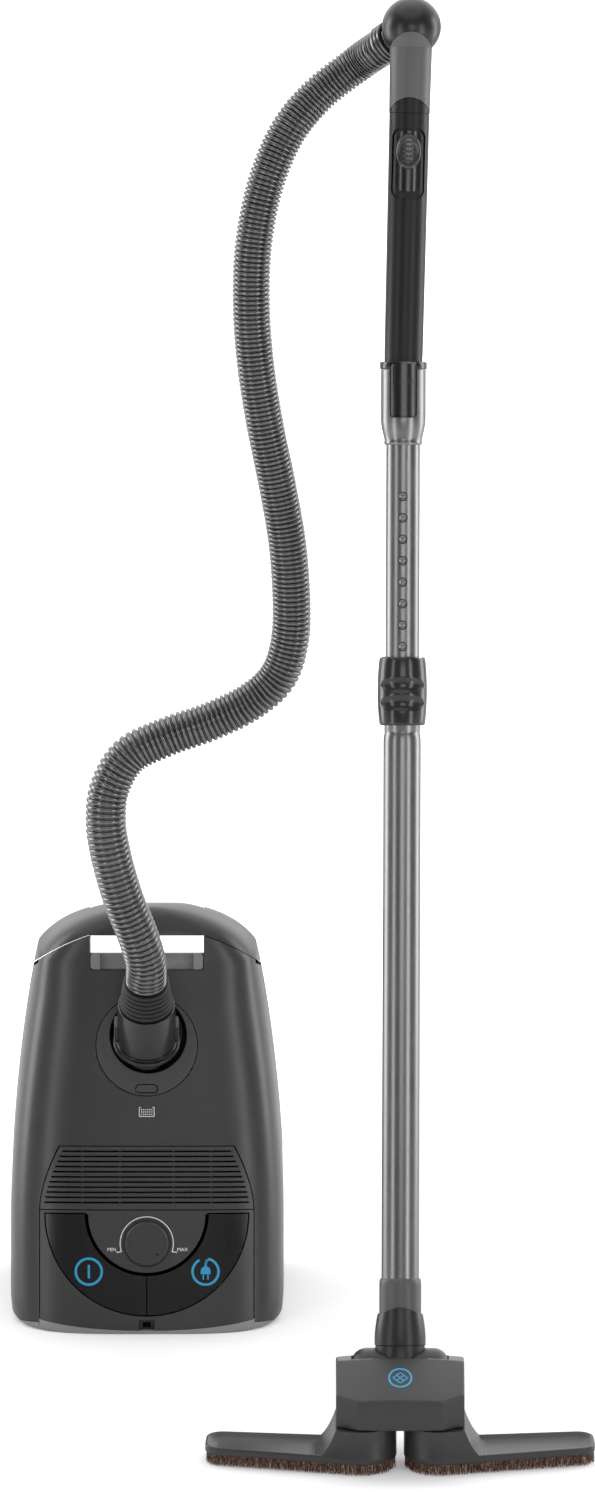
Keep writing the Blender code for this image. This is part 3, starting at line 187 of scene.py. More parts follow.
def connect(tree, *links):
    """Each link is a node, its output's name, another node and its input's name."""
    for source, output, target, entry in links:
        tree.links.new(source.outputs[output], target.inputs[entry])


def noise_bump(tree, source, output, scale, detail, strength, distance):
    """A noise that shapes the surface's normal."""
    fine = new_node(tree, "TexNoise", Scale=scale, Detail=detail)
    bump = new_node(tree, "Bump", Strength=strength, Distance=distance)
    connect(tree, (source, output, fine, "Vector"), (fine, "Fac", bump, "Height"),
            (bump, "Normal", tree.nodes["Principled BSDF"], "Normal"))


def node_material(name, colour, roughness, metallic=0.0, grain=0.0, grain_scale=900, mottle=0.0,
                  coat=0.0, specular=0.5):
    """A moulded or metal surface: colour mottling, roughness variation and a fine grain bump."""
    made = bpy.data.materials.new(name)
    made.use_nodes = True
    tree = made.node_tree
    shader = tree.nodes["Principled BSDF"]
    set_inputs(shader, Metallic=metallic, Coat_Weight=coat, Coat_Roughness=0.12, Specular_IOR_Level=specular)
    place_in = new_node(tree, "TexCoord")
    cloud = new_node(tree, "TexNoise", Scale=35, Detail=4)
    tint = new_node(tree, "ValToRGB")
    for element, share in zip(tint.color_ramp.elements, (1 - mottle, 1 + mottle)):
        element.color = (*[c * share for c in colour], 1)
    rough = new_node(tree, "MapRange", To_Min=roughness * 0.88, To_Max=roughness * 1.12)
    connect(tree, (place_in, "Object", cloud, "Vector"), (cloud, "Fac", tint, "Fac"),
            (tint, "Color", shader, "Base Color"), (cloud, "Fac", rough, "Value"),
            (rough, "Result", shader, "Roughness"))
    if grain:
        noise_bump(tree, place_in, "Object", grain_scale, 3, grain, 0.0003)
    return made


def brushed_material(name, colour, roughness):
    """Metal brushed round the tube: fine rings in its bump."""
    made = node_material(name, colour, roughness, metallic=1.0, mottle=0.05)
    tree = made.node_tree
    stretch = new_node(tree, "Mapping", Scale=(5, 5, 1500))
    connect(tree, (tree.nodes["Texture Coordinate"], "Object", stretch, "Vector"))
    noise_bump(tree, stretch, "Vector", 1, 2, 0.06, 0.0001)
    return made


def bristle_material():
    """Natural brush hair: each hair has its own shade of brown."""
    made = node_material("bristle_hair", (0.15, 0.075, 0.045), 0.6)
    tree = made.node_tree
    set_inputs(tree.nodes["Noise Texture"], Scale=420)
    shades = tree.nodes["Color Ramp"].color_ramp.elements
    shades[0].position, shades[1].position = 0.33, 0.68
    shades[0].color = (0.030, 0.013, 0.008, 1)
    shades[1].color = (0.42, 0.26, 0.19, 1)
    shades.new(0.5).color = (0.13, 0.060, 0.036, 1)
    return made


LOOKS = {
    "shell": node_material("satin_dark_grey", (0.036, 0.0365, 0.038), 0.33, grain=0.06, mottle=0.03),
    "disc": node_material("inlet_disc_grey", (0.048, 0.0485, 0.050), 0.40, grain=0.06, mottle=0.03),
    "panel": node_material("panel_grey", (0.038, 0.0385, 0.040), 0.36, grain=0.05, mottle=0.03),
    "pedal": node_material("pedal_black", (0.009, 0.009, 0.0094), 0.24, grain=0.03, mottle=0.03, coat=0.2),
    "black": node_material("smooth_black", (0.010, 0.010, 0.0104), 0.36, grain=0.05, mottle=0.04),
    "gloss": node_material("gloss_black", (0.007, 0.007, 0.0073), 0.24, mottle=0.04, coat=0.25),
    "grip": node_material("grip_black", (0.007, 0.007, 0.0073), 0.40, grain=0.12, mottle=0.05,
                          specular=0.35),
    "grey": node_material("mid_grey", (0.105, 0.106, 0.109), 0.46, grain=0.08, mottle=0.03),
    "socket": node_material("socket_grey", (0.075, 0.076, 0.078), 0.42, grain=0.08, mottle=0.03),
    # painted floor reflection: a pale grey that stands in for floor light on the canister's lower chamfer
    "strip": node_material("pale_floor_sheen_grey", (0.26, 0.26, 0.27), 0.42, grain=0.06, mottle=0.04),
    "rubber": node_material("black_rubber", (0.012, 0.012, 0.012), 0.7, grain=0.35, grain_scale=1400,
                            mottle=0.1),
    "relief": node_material("relief_rubber", (0.011, 0.011, 0.011), 0.5, grain=0.1, mottle=0.06),
    "hose": node_material("hose_grey", (0.16, 0.16, 0.164), 0.24, metallic=0.9, mottle=0.04),
    "steel": brushed_material("brushed_steel", (0.22, 0.22, 0.225), 0.32),
    "gloss_sleeve": node_material("sleeve_black", (0.016, 0.016, 0.0165), 0.25, grain=0.08, mottle=0.05,
                                  coat=0.2),
    "slider": node_material("slider_black", (0.030, 0.030, 0.031), 0.24, mottle=0.04, coat=0.4),
    "ball": node_material("ball_black", (0.017, 0.017, 0.0175), 0.30, grain=0.04, mottle=0.04),
    "nozzle": node_material("nozzle_grey", (0.030, 0.0305, 0.0315), 0.40, grain=0.08, mottle=0.03),
    "lip": node_material("latch_lip_grey", (0.22, 0.22, 0.225), 0.30, grain=0.05, mottle=0.04),
    "bristle": bristle_material(),
    "paper": node_material("fleece", (0.75, 0.72, 0.66), 0.9, grain=0.5, grain_scale=500, mottle=0.06),
    "foam": node_material("exhaust_foam", (0.006, 0.006, 0.006), 0.95, grain=0.6, grain_scale=700,
                          mottle=0.1),
    "filter": node_material("white_felt", (0.80, 0.82, 0.84), 0.9, grain=0.5, grain_scale=600, mottle=0.04),
    "board": node_material("circuit_green", (0.03, 0.18, 0.08), 0.45, grain=0.1, mottle=0.15),
    "inner": node_material("inner_grey", (0.10, 0.10, 0.11), 0.55, grain=0.1, mottle=0.05),
    "blue": node_material("print_blue", (0.024, 0.33, 0.58), 0.4, mottle=0.02),
    "white": node_material("print_white", (0.80, 0.80, 0.80), 0.45, mottle=0.02),
}


# ---------------------------------------------------------------- frames

def within(parent, location, turn_x=0, turn_y=0):
    """A frame inside another one: moved, then turned about its Y axis and its X axis."""
    turned_by = Matrix.Rotation(turn_y, 4, "Y") @ Matrix.Rotation(turn_x, 4, "X")
    return parent @ Matrix.Translation(location) @ turned_by


WORLD = Matrix.Identity(4)
CANISTER = within(WORLD, CANISTER_AT)
FACE = within(CANISTER, (0, 0, 0), -FACE_SLOPE)
TOP_END = within(CANISTER, TOP_END_AT, -TOP_END_SLOPE)
INLET = within(FACE, INLET_AT, INLET_SLOPE)
RELIEF = within(INLET, (0, 0, CUFF_LENGTH + GAP))
NOZZLE = within(WORLD, NOZZLE_AT)
WAND = within(NOZZLE, (0, PIVOT_BACK, PIVOT_HEIGHT), -WAND_LEAN_BACK, WAND_LEAN_SIDE)
GRIP = within(WAND, (0, 0, GRIP_AT), 0, GRIP_LEAN_SIDE)
BALL = within(GRIP, (0, 0, BALL_AT))
EXIT_WAY = BALL.to_3x3().inverted() @ HOSE_EXIT


# ---------------------------------------------------------------- shape toolkit

HELPERS = []


def placed(name, data):
    """A new object in the scene."""
    obj = bpy.data.objects.new(name, data)
    bpy.context.scene.collection.objects.link(obj)
    return obj


def helper(mesh):
    """An unnamed working object, which is removed at the end unless it is settled as a piece."""
    obj = placed("working_shape", mesh)
    HELPERS.append(obj)
    return obj


def as_it_looks(obj):
    """An object's mesh with its modifiers applied."""
    graph = bpy.context.evaluated_depsgraph_get()
    return bpy.data.meshes.new_from_object(obj.evaluated_get(graph))


def soften(obj, width, segments, angle):
    """Round an object's sharper edges."""
    step = obj.modifiers.new("soften", "BEVEL")
    step.width = width
    step.segments = segments
    step.limit_method = "ANGLE"
    step.angle_limit = math.radians(angle)
    return step


def drop(obj):
    HELPERS.remove(obj)
    bpy.data.objects.remove(obj, do_unlink=True)


def as_helper(shape, at):
    mesh = bpy.data.meshes.new("working_mesh")
    bmesh.ops.recalc_face_normals(shape, faces=shape.faces)
    shape.to_mesh(mesh)
    shape.free()
    mesh.transform(at)
    return helper(mesh)


def settle(obj, name, look, body, nodes=(), bevel=0.0004, angle=38, segments=2):
    """Bake a working object, round its edges and hand it over to its body."""
    mesh = as_it_looks(obj)
    drop(obj)
    mesh.name = name
    shape = bmesh.new()
    shape.from_mesh(mesh)
    bmesh.ops.remove_doubles(shape, verts=shape.verts, dist=MERGE)
    bmesh.ops.dissolve_degenerate(shape, edges=shape.edges, dist=MERGE)
    shape.to_mesh(mesh)
    shape.free()
    mesh.materials.clear()
    mesh.materials.append(LOOKS[look])
    mesh.shade_smooth()
    mesh.set_sharp_from_angle(angle=math.radians(angle))
    piece = placed(name, mesh)
    if bevel:
        soften(piece, bevel, segments, angle).harden_normals = True
    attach(piece, body)
    if nodes:
        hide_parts(*nodes)
    return piece


def loft(rings, at=WORLD, cap_start=True, cap_end=True, closed=False):
    """A skin over rings of points; a ring of one point is a pole."""
    shape = bmesh.new()
    made = [[shape.verts.new(p) for p in ring] for ring in rings]
    pairs = list(zip(made, made[1:]))
    if closed:
        pairs.append((made[-1], made[0]))
    for low, high in pairs:
        count = max(len(low), len(high))
        for i in range(count):
            j = (i + 1) % count
            if len(low) == 1:
                shape.faces.new((low[0], high[j], high[i]))
            elif len(high) == 1:
                shape.faces.new((low[i], low[j], high[0]))
            else:
                shape.faces.new((low[i], low[j], high[j], high[i]))
    if not closed:
        if cap_start and len(made[0]) > 2:
            shape.faces.new(reversed(made[0]))
        if cap_end and len(made[-1]) > 2:
            shape.faces.new(made[-1])
    return as_helper(shape, at)


def circle(radius, up, steps):
    if radius == 0:
        return [(0, 0, up)]
    return [(radius * math.cos(2 * math.pi * i / steps), radius * math.sin(2 * math.pi * i / steps), up)
            for i in range(steps)]


def turned(profile, at, steps=72):
    """A profile of (radius, height) turned about Z; a profile that misses the axis is closed on itself."""
    return loft([circle(radius, up, steps) for radius, up in profile], at, closed=profile[0][0] > 0)


def rod(start, end, radius, at, steps=48, end_radius=None):
    """A round bar or cone from start to end."""
    start, end = Vector(start), Vector(end)
    along = end - start
    spin = along.to_track_quat("Z", "Y").to_matrix().to_4x4()
    last = radius if end_radius is None else end_radius
    rings = [circle(radius, 0, steps), circle(last, along.length, steps)]
    return loft(rings, at @ Matrix.Translation(start) @ spin)


def upright(low, high, radius, at, steps=48, spot=(0, 0)):
    """A round bar along a frame's Z axis, or beside it."""
    return rod((*spot, low), (*spot, high), radius, at, steps)


def boxes(corners, at):
    """One working object of several separate boxes, each given by its low and high corner."""
    shape = bmesh.new()
    for low, high in corners:
        made = bmesh.ops.create_cube(shape, size=1)["verts"]
        bmesh.ops.scale(shape, vec=[b - a for a, b in zip(low, high)], verts=made)
        bmesh.ops.translate(shape, vec=[(a + b) / 2 for a, b in zip(low, high)], verts=made)
    return as_helper(shape, at)


def box(low, high, at):
    return boxes([(low, high)], at)


def prism(outline, near, far, at, axis="Y"):
    """A flat outline extruded along Y (outline in x, z), along Z (x, y) or along X (y, z)."""
    def spot(a, b, along):
        return {"Y": (a, along, b), "Z": (a, b, along), "X": (along, a, b)}[axis]
    return loft([[spot(a, b, near) for a, b in outline], [spot(a, b, far) for a, b in outline]], at)


def arc(centre, radius, start, end, steps):
    """Points on a circle, from one angle to another in degrees."""
    angles = [math.radians(start + (end - start) * i / steps) for i in range(steps + 1)]
    return [(centre[0] + radius * math.cos(a), centre[1] + radius * math.sin(a)) for a in angles]


def rounded_box(half_width, low, high, radius, steps=8):
    """A rectangle's outline with round corners, about x = 0."""
    sides = (half_width, -half_width, -half_width, half_width)
    points = []
    for x, z, start in zip(sides, (high, high, low, low), (0, 90, 180, 270)):
        centre = (x - math.copysign(radius, x), z - radius if z == high else z + radius)
        points += arc(centre, radius, start, start + 90, steps)
    return points


def boolean(obj, others, operation):
    for other in others:
        step = obj.modifiers.new("step", "BOOLEAN")
        step.operation = operation
        step.object = other
    return obj


def cut(obj, *others):
    return boolean(obj, others, "DIFFERENCE")


def keep(obj, *others):
    return boolean(obj, others, "INTERSECT")


def join(obj, *others):
    return boolean(obj, others, "UNION")


# ---------------------------------------------------------------- camera, light and floor

def camera():
    lens = bpy.data.cameras.new("view")
    lens.sensor_fit = "VERTICAL"
    lens.sensor_height = SENSOR
    lens.lens = SENSOR * CAMERA_DISTANCE / PICTURE_HEIGHT
    lens.clip_start, lens.clip_end = NEAREST, FURTHEST
    viewer = placed("view", lens)
    back = Vector((0, -math.cos(CAMERA_ELEVATION), math.sin(CAMERA_ELEVATION)))
    viewer.location = Vector(CAMERA_TARGET) + back * CAMERA_DISTANCE
    viewer.rotation_euler = (math.radians(90) - CAMERA_ELEVATION, 0, 0)
    bpy.context.scene.camera = viewer


def soft_box(name, location, width, height, power):
    """A rectangular light that faces the object."""
    data = bpy.data.lights.new(name, "AREA")
    data.shape = "RECTANGLE"
    data.size, data.size_y, data.energy = width, height, power
    lamp = placed(name, data)
    lamp.location = location
    lamp.rotation_euler = (LIGHT_AIM - Vector(location)).to_track_quat("-Z", "Y").to_euler()


def sky():
    """White where the camera looks past the floor, and a light that grows towards the back."""
    world = bpy.data.worlds.new("studio")
    bpy.context.scene.world = world
    world.use_nodes = True
    tree = world.node_tree
    background = tree.nodes["Background"]
    set_inputs(background, Color=(1, 1, 1, 1))
    parts = new_node(tree, "SeparateXYZ")
    behind = new_node(tree, "MapRange", From_Min=GLOW_TURN[0], From_Max=GLOW_TURN[1], To_Min=FRONT_GLOW,
                      To_Max=BACK_GLOW)
    choose = new_node(tree, "Mix", B=WHITE)
    connect(tree, (new_node(tree, "TexCoord"), "Generated", parts, "Vector"), (parts, "Y", behind, "Value"),
            (new_node(tree, "LightPath"), "Is Camera Ray", choose, "Factor"),
            (behind, "Result", choose, "A"), (choose, "Result", background, "Strength"))


def studio():
    sky()
    for box_of_light in SOFT_BOXES:
        soft_box(*box_of_light)
    sun = bpy.data.lights.new("soft_sun", "SUN")
    sun.energy, sun.angle = SUN_POWER, SUN_SPREAD
    placed("soft_sun", sun).rotation_euler = SUN_TURN
    bpy.context.scene.view_settings.view_transform = "Standard"


def floor():
    """A pale floor: the camera sees a glow on it that fades to white away from the object."""
    mesh = bpy.data.meshes.new("floor")
    corners = [(x * FLOOR_REACH, y * FLOOR_REACH, FLOOR_LEVEL)
               for x, y in ((-1, -1), (1, -1), (1, 1), (-1, 1))]
    mesh.from_pydata(corners, [], [(0, 1, 2, 3)])
    made = node_material("pale_floor", (0.80, 0.80, 0.80), 0.9, mottle=0.01, specular=0.0)
    tree = made.node_tree
    shader = tree.nodes["Principled BSDF"]
    set_inputs(shader, Emission_Color=(1, 1, 1, 1))
    away = new_node(tree, "VectorMath")
    away.operation = "LENGTH"
    fade = new_node(tree, "MapRange", From_Min=FLOOR_FADE[0], From_Max=FLOOR_FADE[1], To_Min=FLOOR_GLOW,
                    To_Max=WHITE)
    seen = new_node(tree, "Math")
    seen.operation = "MULTIPLY"
    tree.links.new(tree.nodes["Texture Coordinate"].outputs["Object"], away.inputs[0])
    tree.links.new(fade.outputs["Result"], seen.inputs[0])
    tree.links.new(new_node(tree, "LightPath").outputs["Is Camera Ray"], seen.inputs[1])
    connect(tree, (away, "Value", fade, "Value"), (seen, "Value", shader, "Emission Strength"))
    mesh.materials.append(made)
    placed("floor", mesh)


# ---------------------------------------------------------------- hose

def catmull_rom(points, share):
    """A point on the smooth curve through four neighbouring points, between the middle two."""
    before, start, end, after = (Vector(p) for p in points)
    slope_in, slope_out = (end - before) / 2, (after - start) / 2
    square, cube = share ** 2, share ** 3
    return ((2 * cube - 3 * square + 1) * start + (cube - 2 * square + share) * slope_in
            + (3 * square - 2 * cube) * end + (cube - square) * slope_out)


def measured(points):
    """The distance along a route at each of its points."""
    lengths = [0]
    for a, b in zip(points, points[1:]):
        lengths.append(lengths[-1] + (b - a).length)
    return lengths


def evenly(points, count):
    """The same route, as evenly spaced points."""
    lengths = measured(points)
    route, at = [], 0
    for i in range(count):
        wanted = lengths[-1] * i / (count - 1)
        while at < len(points) - 2 and lengths[at + 1] < wanted:
            at += 1
        share = (wanted - lengths[at]) / (lengths[at + 1] - lengths[at])
        route.append(points[at].lerp(points[at + 1], share))
    return route


def hose_route():
    up = Vector((0, 0, RELIEF_LENGTH + GAP))
    stub = Vector((0, 0, HOSE_STUB))
    out = COLLAR_END + GAP
    start, start_stub = RELIEF @ up, RELIEF @ (up + stub)
    end, end_stub = BALL @ (EXIT_WAY * out), BALL @ (EXIT_WAY * (out + HOSE_STUB))
    knots = [start, start_stub, *[Vector(p) for p in HOSE_ROUTE], end_stub, end]
    ends = [knots[0] * 2 - knots[1], *knots, knots[-1] * 2 - knots[-2]]
    fine = [catmull_rom(ends[i:i + 4], step / HOSE_KNOT_STEPS)
            for i in range(len(knots) - 1) for step in range(HOSE_KNOT_STEPS)]
    return fine + [end]


def hose():
    """Corrugated hose: rounded rings with narrow grooves, wider and coarser towards the canister."""
    count, steps = HOSE_SAMPLES, HOSE_STEPS
    route = evenly(hose_route(), count)
    total = measured(route)[-1]
    side = Vector((1, 0, 0))
    rings, ring_start = [], 0
    while ring_start < total:
        share = min(1, max(0, (ring_start / total - HOSE_TAPER_START) / HOSE_TAPER_SHARE))
        share = share * share * (3 - 2 * share)
        crest = HOSE_WIDE + (HOSE_NARROW - HOSE_WIDE) * share
        pitch = HOSE_PITCH_LOW + (HOSE_PITCH_HIGH - HOSE_PITCH_LOW) * share
        for along, depth in HOSE_RING:
            i = min(count - 1, round((ring_start + pitch * along) / total * (count - 1)))
            ahead = (route[min(i + 1, count - 1)] - route[max(i - 1, 0)]).normalized()
            side = (side - ahead * side.dot(ahead)).normalized()
            across = ahead.cross(side)
            radius = crest - HOSE_GROOVE * depth
            rings.append([route[i] + (side * math.cos(a) + across * math.sin(a)) * radius
                          for a in (2 * math.pi * k / steps for k in range(steps))])
            if i == count - 1:
                break
        ring_start += pitch
    tube = loft(rings)
    mesh = tube.data.copy()
    drop(tube)
    mesh.name = "corrugated_hose"
    mesh.materials.append(LOOKS["hose"])
    mesh.shade_smooth()
    piece = placed("corrugated_hose", mesh)
    path = [tuple(p) for p in evenly(route, HOSE_PATH_POINTS)]
    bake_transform(piece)
    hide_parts("hose")


camera()
studio()
floor()
hose()


# ---------------------------------------------------------------- the canister's outer form

def half_width(height):
    """Half the canister's width: straight sides, a slow taper, then the arch of the handle."""
    rise = max(0, height - TAPER_START) / (SHOULDER_HEIGHT - TAPER_START)
    width = HALF_WIDTH - TAPER_AT_SHOULDER * rise ** TAPER_POWER
    if height < FOOT_ROUND:
        width -= FOOT_ROUND * (1 - math.sqrt(1 - (1 - height / FOOT_ROUND) ** 2))
    if height > ARCH_CENTRE:
        across = math.sqrt(1 - ((height - ARCH_CENTRE) / ARCH_RISE) ** 2)
        width = min(width, ARCH_HALF_WIDTH * across)
    return width


def front_depth(height):
    """The lid's ridge: a slope that curls back over the handle."""
    depth = height * math.tan(FACE_SLOPE)
    if height > FRONT_CURL_START:
        share = (height - FRONT_CURL_START) / (BODY_TOP - FRONT_CURL_START)
        depth += FRONT_CURL * (1 - math.sqrt(1 - share ** 2))
    return depth


def back_depth(height):
    """The underside: flat, then a round nose up to the handle."""
    if height < NOSE_START:
        return BODY_DEPTH
    share = (height - NOSE_START) / (BODY_TOP - NOSE_START)
    return NOSE_BACK_TOP + (BODY_DEPTH - NOSE_BACK_TOP) * math.sqrt(1 - share ** 2)


def dome_shares(count):
    """The front's curve from its ridge to its side, as shares of the half width and of the dome's depth."""
    knee, flat = 0.5 ** (1 / DOME_POWER), count // 2
    bent = count - flat
    points = []
    for i in range(flat + 1):
        across = knee * i / flat
        points.append((across, 1 - (1 - across ** DOME_POWER) ** (1 / DOME_POWER)))
    for i in range(1, bent + 1):
        left = knee * (1 - i / bent)
        points.append(((1 - left ** DOME_POWER) ** (1 / DOME_POWER), 1 - left))
    return points


def section(height, inset, steps):
    """One level section of the canister, anticlockwise from above, starting at its left side."""
    width = half_width(height) - inset
    front = front_depth(height) + inset
    back = back_depth(height) - inset
    dome = min(DOME_DEPTH, DOME_SHARE * (back - front))
    corner = min(BACK_CORNER, width * 0.5, (back - front - dome) * 0.8)
    right = dome_shares(steps // 2)
    shares = [(-across, deep) for across, deep in reversed(right[1:])] + right
    points = [(width * across, front + dome * deep, height) for across, deep in shares]
    for centre, start in ((width - corner, 0), (corner - width, 90)):
        points += [(x, y, height) for x, y in arc((centre, back - corner), corner, start, start + 90, 8)]
    return points


def form_levels(low, high, count):
    """Heights that crowd together towards the top of the arch, where the form turns fastest."""
    return [low + (high - low) * math.sin(math.pi / 2 * i / count) for i in range(count + 1)]


def canister_form(inset, levels, steps=FRONT_STEPS):
    return loft([section(height, inset, steps) for height in levels], CANISTER)


def panel_outline(grow, top):
    """The cut-out in the lid for the panel and the grille, up to a height."""
    side = PANEL_HALF_WIDTH + grow
    points = [(-side, -0.03), (side, -0.03), (side, min(PANEL_TOP, top))]
    if top > PANEL_TOP:
        for i in range(1, 13):
            share = i / 12
            up = PANEL_TOP + (top - PANEL_TOP) * share
            inward = (PANEL_HALF_WIDTH - GRILLE_TOP_HALF_WIDTH) * share ** GRILLE_POWER
            points.append((side - inward, up))
    return points + [(-x, up) for x, up in reversed(points[2:])]


def seam_outline(shift):
    """Everything above the seam between the lid and the carry handle."""
    steps = 16
    half = 0.150
    left = []
    for i in range(steps + 1):
        x = -half + (half - GRIP_HALF_WIDTH) * i / steps
        left.append((x, SEAM_MIDDLE - SEAM_CURVE * x * x + shift))
    left.append((-GRIP_HALF_WIDTH, GRIP_BOTTOM + shift))
    right = [(-x, up) for x, up in reversed(left)]
    return left + right + [(half, 0.50), (-half, 0.50)]


def bumper_outline(grow):
    """The base strip's front view: a thin sole, with a band that rises between the lid's skirts."""
    side = PANEL_HALF_WIDTH - GAP + grow
    band = [(side * i / 16, BUMPER_HEIGHT + BUMPER_RISE * (i / 16) ** 2 + grow) for i in range(-16, 17)]
    wide = HALF_WIDTH + 0.02
    return [(-wide, -0.02), (wide, -0.02), (wide, BUMPER_HEIGHT + grow), (side, BUMPER_HEIGHT + grow),
            *reversed(band), (-side, BUMPER_HEIGHT + grow), (-wide, BUMPER_HEIGHT + grow)]


def region(outline, at=CANISTER):
    """A cutter that runs right through the canister from front to back."""
    return prism(outline, -FAR, FAR, at)


def front_region(outline):
    """A cutter through the lid's side of the canister only, square to the lid."""
    return prism(outline, -0.06, PARTING, FACE)


def behind(depth):
    """A cutter for everything deeper than a plane parallel to the lid."""
    return box((-FAR, depth, -FAR), (FAR, FAR, FAR), FACE)


def lid_rod(x, up, near, far, radius, steps=48):
    """A round bar square to the lid."""
    return rod((x, near, up), (x, far, up), radius, FACE, steps)


def side_box(side, near, far, low, high, at):
    """A box on the left (-1) or the right (1), between two distances from the middle."""
    left, right = sorted((side * near, side * far))
    return box((left, *low), (right, *high), at)


def finger_outline(grow):
    """Side view of the space under and behind the carry handle."""
    low, top = FINGER_FLOOR - grow, GRIP_BOTTOM + grow
    wall = GRIP_DEPTH - grow
    return [(-0.1, low), (0.3, low), (0.3, 0.6), (wall, 0.6), (wall, top), (-0.1, top)]


OUTER_LEVELS = [0, 0.001, 0.0025, 0.0045, *form_levels(0.007, BODY_TOP - 0.0003, FORM_LEVELS)]
OUTER = canister_form(0, OUTER_LEVELS)
INNER = canister_form(SKIN, form_levels(BUMPER_HEIGHT, BODY_TOP - 0.008, 16), 24)
keep(INNER, box((-FAR, -FAR, -FAR), (FAR, FAR, INNER_TOP), TOP_END))


def form_copy():
    """A working object that starts as the whole outer form."""
    return helper(OUTER.data.copy())


BASE = region(bumper_outline(SEAM_GAP))
FINGER = prism(finger_outline(0), -GRIP_HALF_WIDTH, GRIP_HALF_WIDTH, TOP_END, "X")


def lid():
    shell = form_copy()
    latch_room = rounded_box(GRIP_HALF_WIDTH, LATCH_BOTTOM, FINGER_FLOOR + 0.01, 0.003)
    cut(shell, INNER, region(seam_outline(-GAP), TOP_END), FINGER,
        behind(PARTING - SEAM_GAP), BASE,
        front_region(panel_outline(SEAM_GAP, GRILLE_TOP + SEAM_GAP)),
        # the skirt cut-outs make room for the painted floor-reflection bands
        front_region(skirt_outline(-1, -0.02, 0.0003)), front_region(skirt_outline(1, -0.02, 0.0003)),
        prism(latch_room, -0.05, LATCH_DEPTH + GAP, TOP_END),
        lid_rod(0, RING_HEIGHT, -0.05, 0.05, RING_RADIUS + GAP, 72),
        prism(seam_outline(-GAP - 0.0032), 0.028, FAR, TOP_END))
    settle(shell, "lid_skin", "shell", "lid", ["lid_shell"])


def rear_casing():
    shell = form_copy()
    cut(shell, INNER, region(seam_outline(-GAP), TOP_END), FINGER,
        box((-FAR, -FAR, -FAR), (FAR, PARTING + SEAM_GAP, FAR), FACE), BASE)
    up = CASTER_AT[1]
    boss = keep(rod((0, 0.196, up), (0, back_depth(up) + 0.004, up), 0.036, CANISTER, 72), OUTER)
    pocket = rod((0, 0.200, up), (0, 0.3, up), 0.033, CANISTER, 72)
    cut(join(shell, boss), pocket)
    back_part = behind(PARTING + SEAM_GAP)
    radius = WHEEL_RADIUS + 0.003
    for side in (-1, 1):
        well = wheel_rod(side, WELL_INNER, 0.2, radius, 64)
        wall = wheel_rod(side, WELL_INNER - SKIN, 0.134, radius + SKIN, 64)
        join(cut(shell, well), cut(keep(wall, OUTER, back_part), well))
    outlet = rod((0.070, 0.2, 0.030), (0.070, 0.3, 0.030), 0.0084, CANISTER)
    rib_rows = [((-0.062, 0.232, 0.120 + 0.012 * i), (0.062, 0.24, 0.124 + 0.012 * i)) for i in range(6)]
    ribs = cut(boxes(rib_rows, CANISTER), canister_form(0.0012, (0.05, 0.245), 24))
    settle(cut(shell, outlet, ribs), "rear_skin", "shell", "body", ["lower_housing"])


def wheel_rod(side, inner, outer, radius, steps=48):
    """A round bar on one wheel's axis."""
    return rod((side * inner, *WHEEL_AT), (side * outer, *WHEEL_AT), radius, CANISTER, steps)


def handle():
    """The grip bar and its two legs, which stand on the rear casing behind the lid."""
    half = GRIP_HALF_WIDTH
    room = prism(finger_outline(GAP), -half - GAP, half + GAP, TOP_END, "X")
    hollow = canister_form(0.004, form_levels(0.305, BODY_TOP - 0.012, 10), 24)
    cut(hollow, box((-half - 0.004, -FAR, -FAR), (half + 0.004, FAR, FAR), CANISTER))
    shell = keep(form_copy(), region(seam_outline(GAP), TOP_END))
    settle(cut(shell, room, hollow), "handle_skin", "shell", "body", ["carry_handle"], bevel=0.0015,
           segments=4)


def latch():
    outline = rounded_box(GRIP_HALF_WIDTH - 2 * GAP, LATCH_BOTTOM + 2 * GAP, FINGER_FLOOR - GAP, 0.003)
    lip = keep(form_copy(), prism(outline, -0.05, LATCH_DEPTH - GAP, TOP_END))
    scoop_at = (-0.0085, 0.3375)
    cut(lip, rod((-0.046, *scoop_at), (0.046, *scoop_at), 0.0115, TOP_END, 64))
    settle(lip, "latch_lip", "lip", "latch", ["lid_latch"])


def base_strip():
    strip = keep(form_copy(), region(bumper_outline(0)))
    cut(strip, INNER)
    for side in (-1, 1):
        cut(strip, side_box(side, PANEL_HALF_WIDTH - GAP, 0.2, (-0.1, -0.01), (SKIRT_CLEARED, 0.02),
                            CANISTER))
        join(strip, side_box(side, 0.0950, 0.1045, (0.026, 0.001), (0.042, 0.0150), CANISTER))
    # the bumper is a real part; its pale grey is a painted floor reflection
    settle(strip, "base_strip", "strip", "body", ["base_bumper"])


def skirt_outline(side, low, lift):
    """The pale band at a skirt's foot, a painted floor reflection, which carries on the base strip's curve.
    """
    inner, outer = PANEL_HALF_WIDTH + SEAM_GAP, HALF_WIDTH + 0.02
    top = [(side * (inner + (outer - inner) * i / 6),
            BUMPER_HEIGHT + BUMPER_RISE * (1 + 0.30 * i / 6) + lift) for i in range(7)]
    return [(side * inner, low), *top, (side * outer, low)]


# painted floor reflection: pale grey bands cut from the lid's form at the skirts' feet, with no part of
# their own
def skirt_floor_sheens():
    for side, word in ((-1, "left"), (1, "right")):
        foot = keep(form_copy(), front_region(skirt_outline(side, -0.02, 0)))
        cut(foot, INNER, behind(PARTING - SEAM_GAP),
            box((-FAR, SKIRT_CLEARED - SEAM_GAP, -FAR), (FAR, FAR, 0.0121), CANISTER))
        settle(foot, f"skirt_floor_sheen_{word}", "strip", "lid")


lid()
skirt_floor_sheens()
rear_casing()
handle()
latch()
base_strip()


# ---------------------------------------------------------------- control panel, grille and inlet

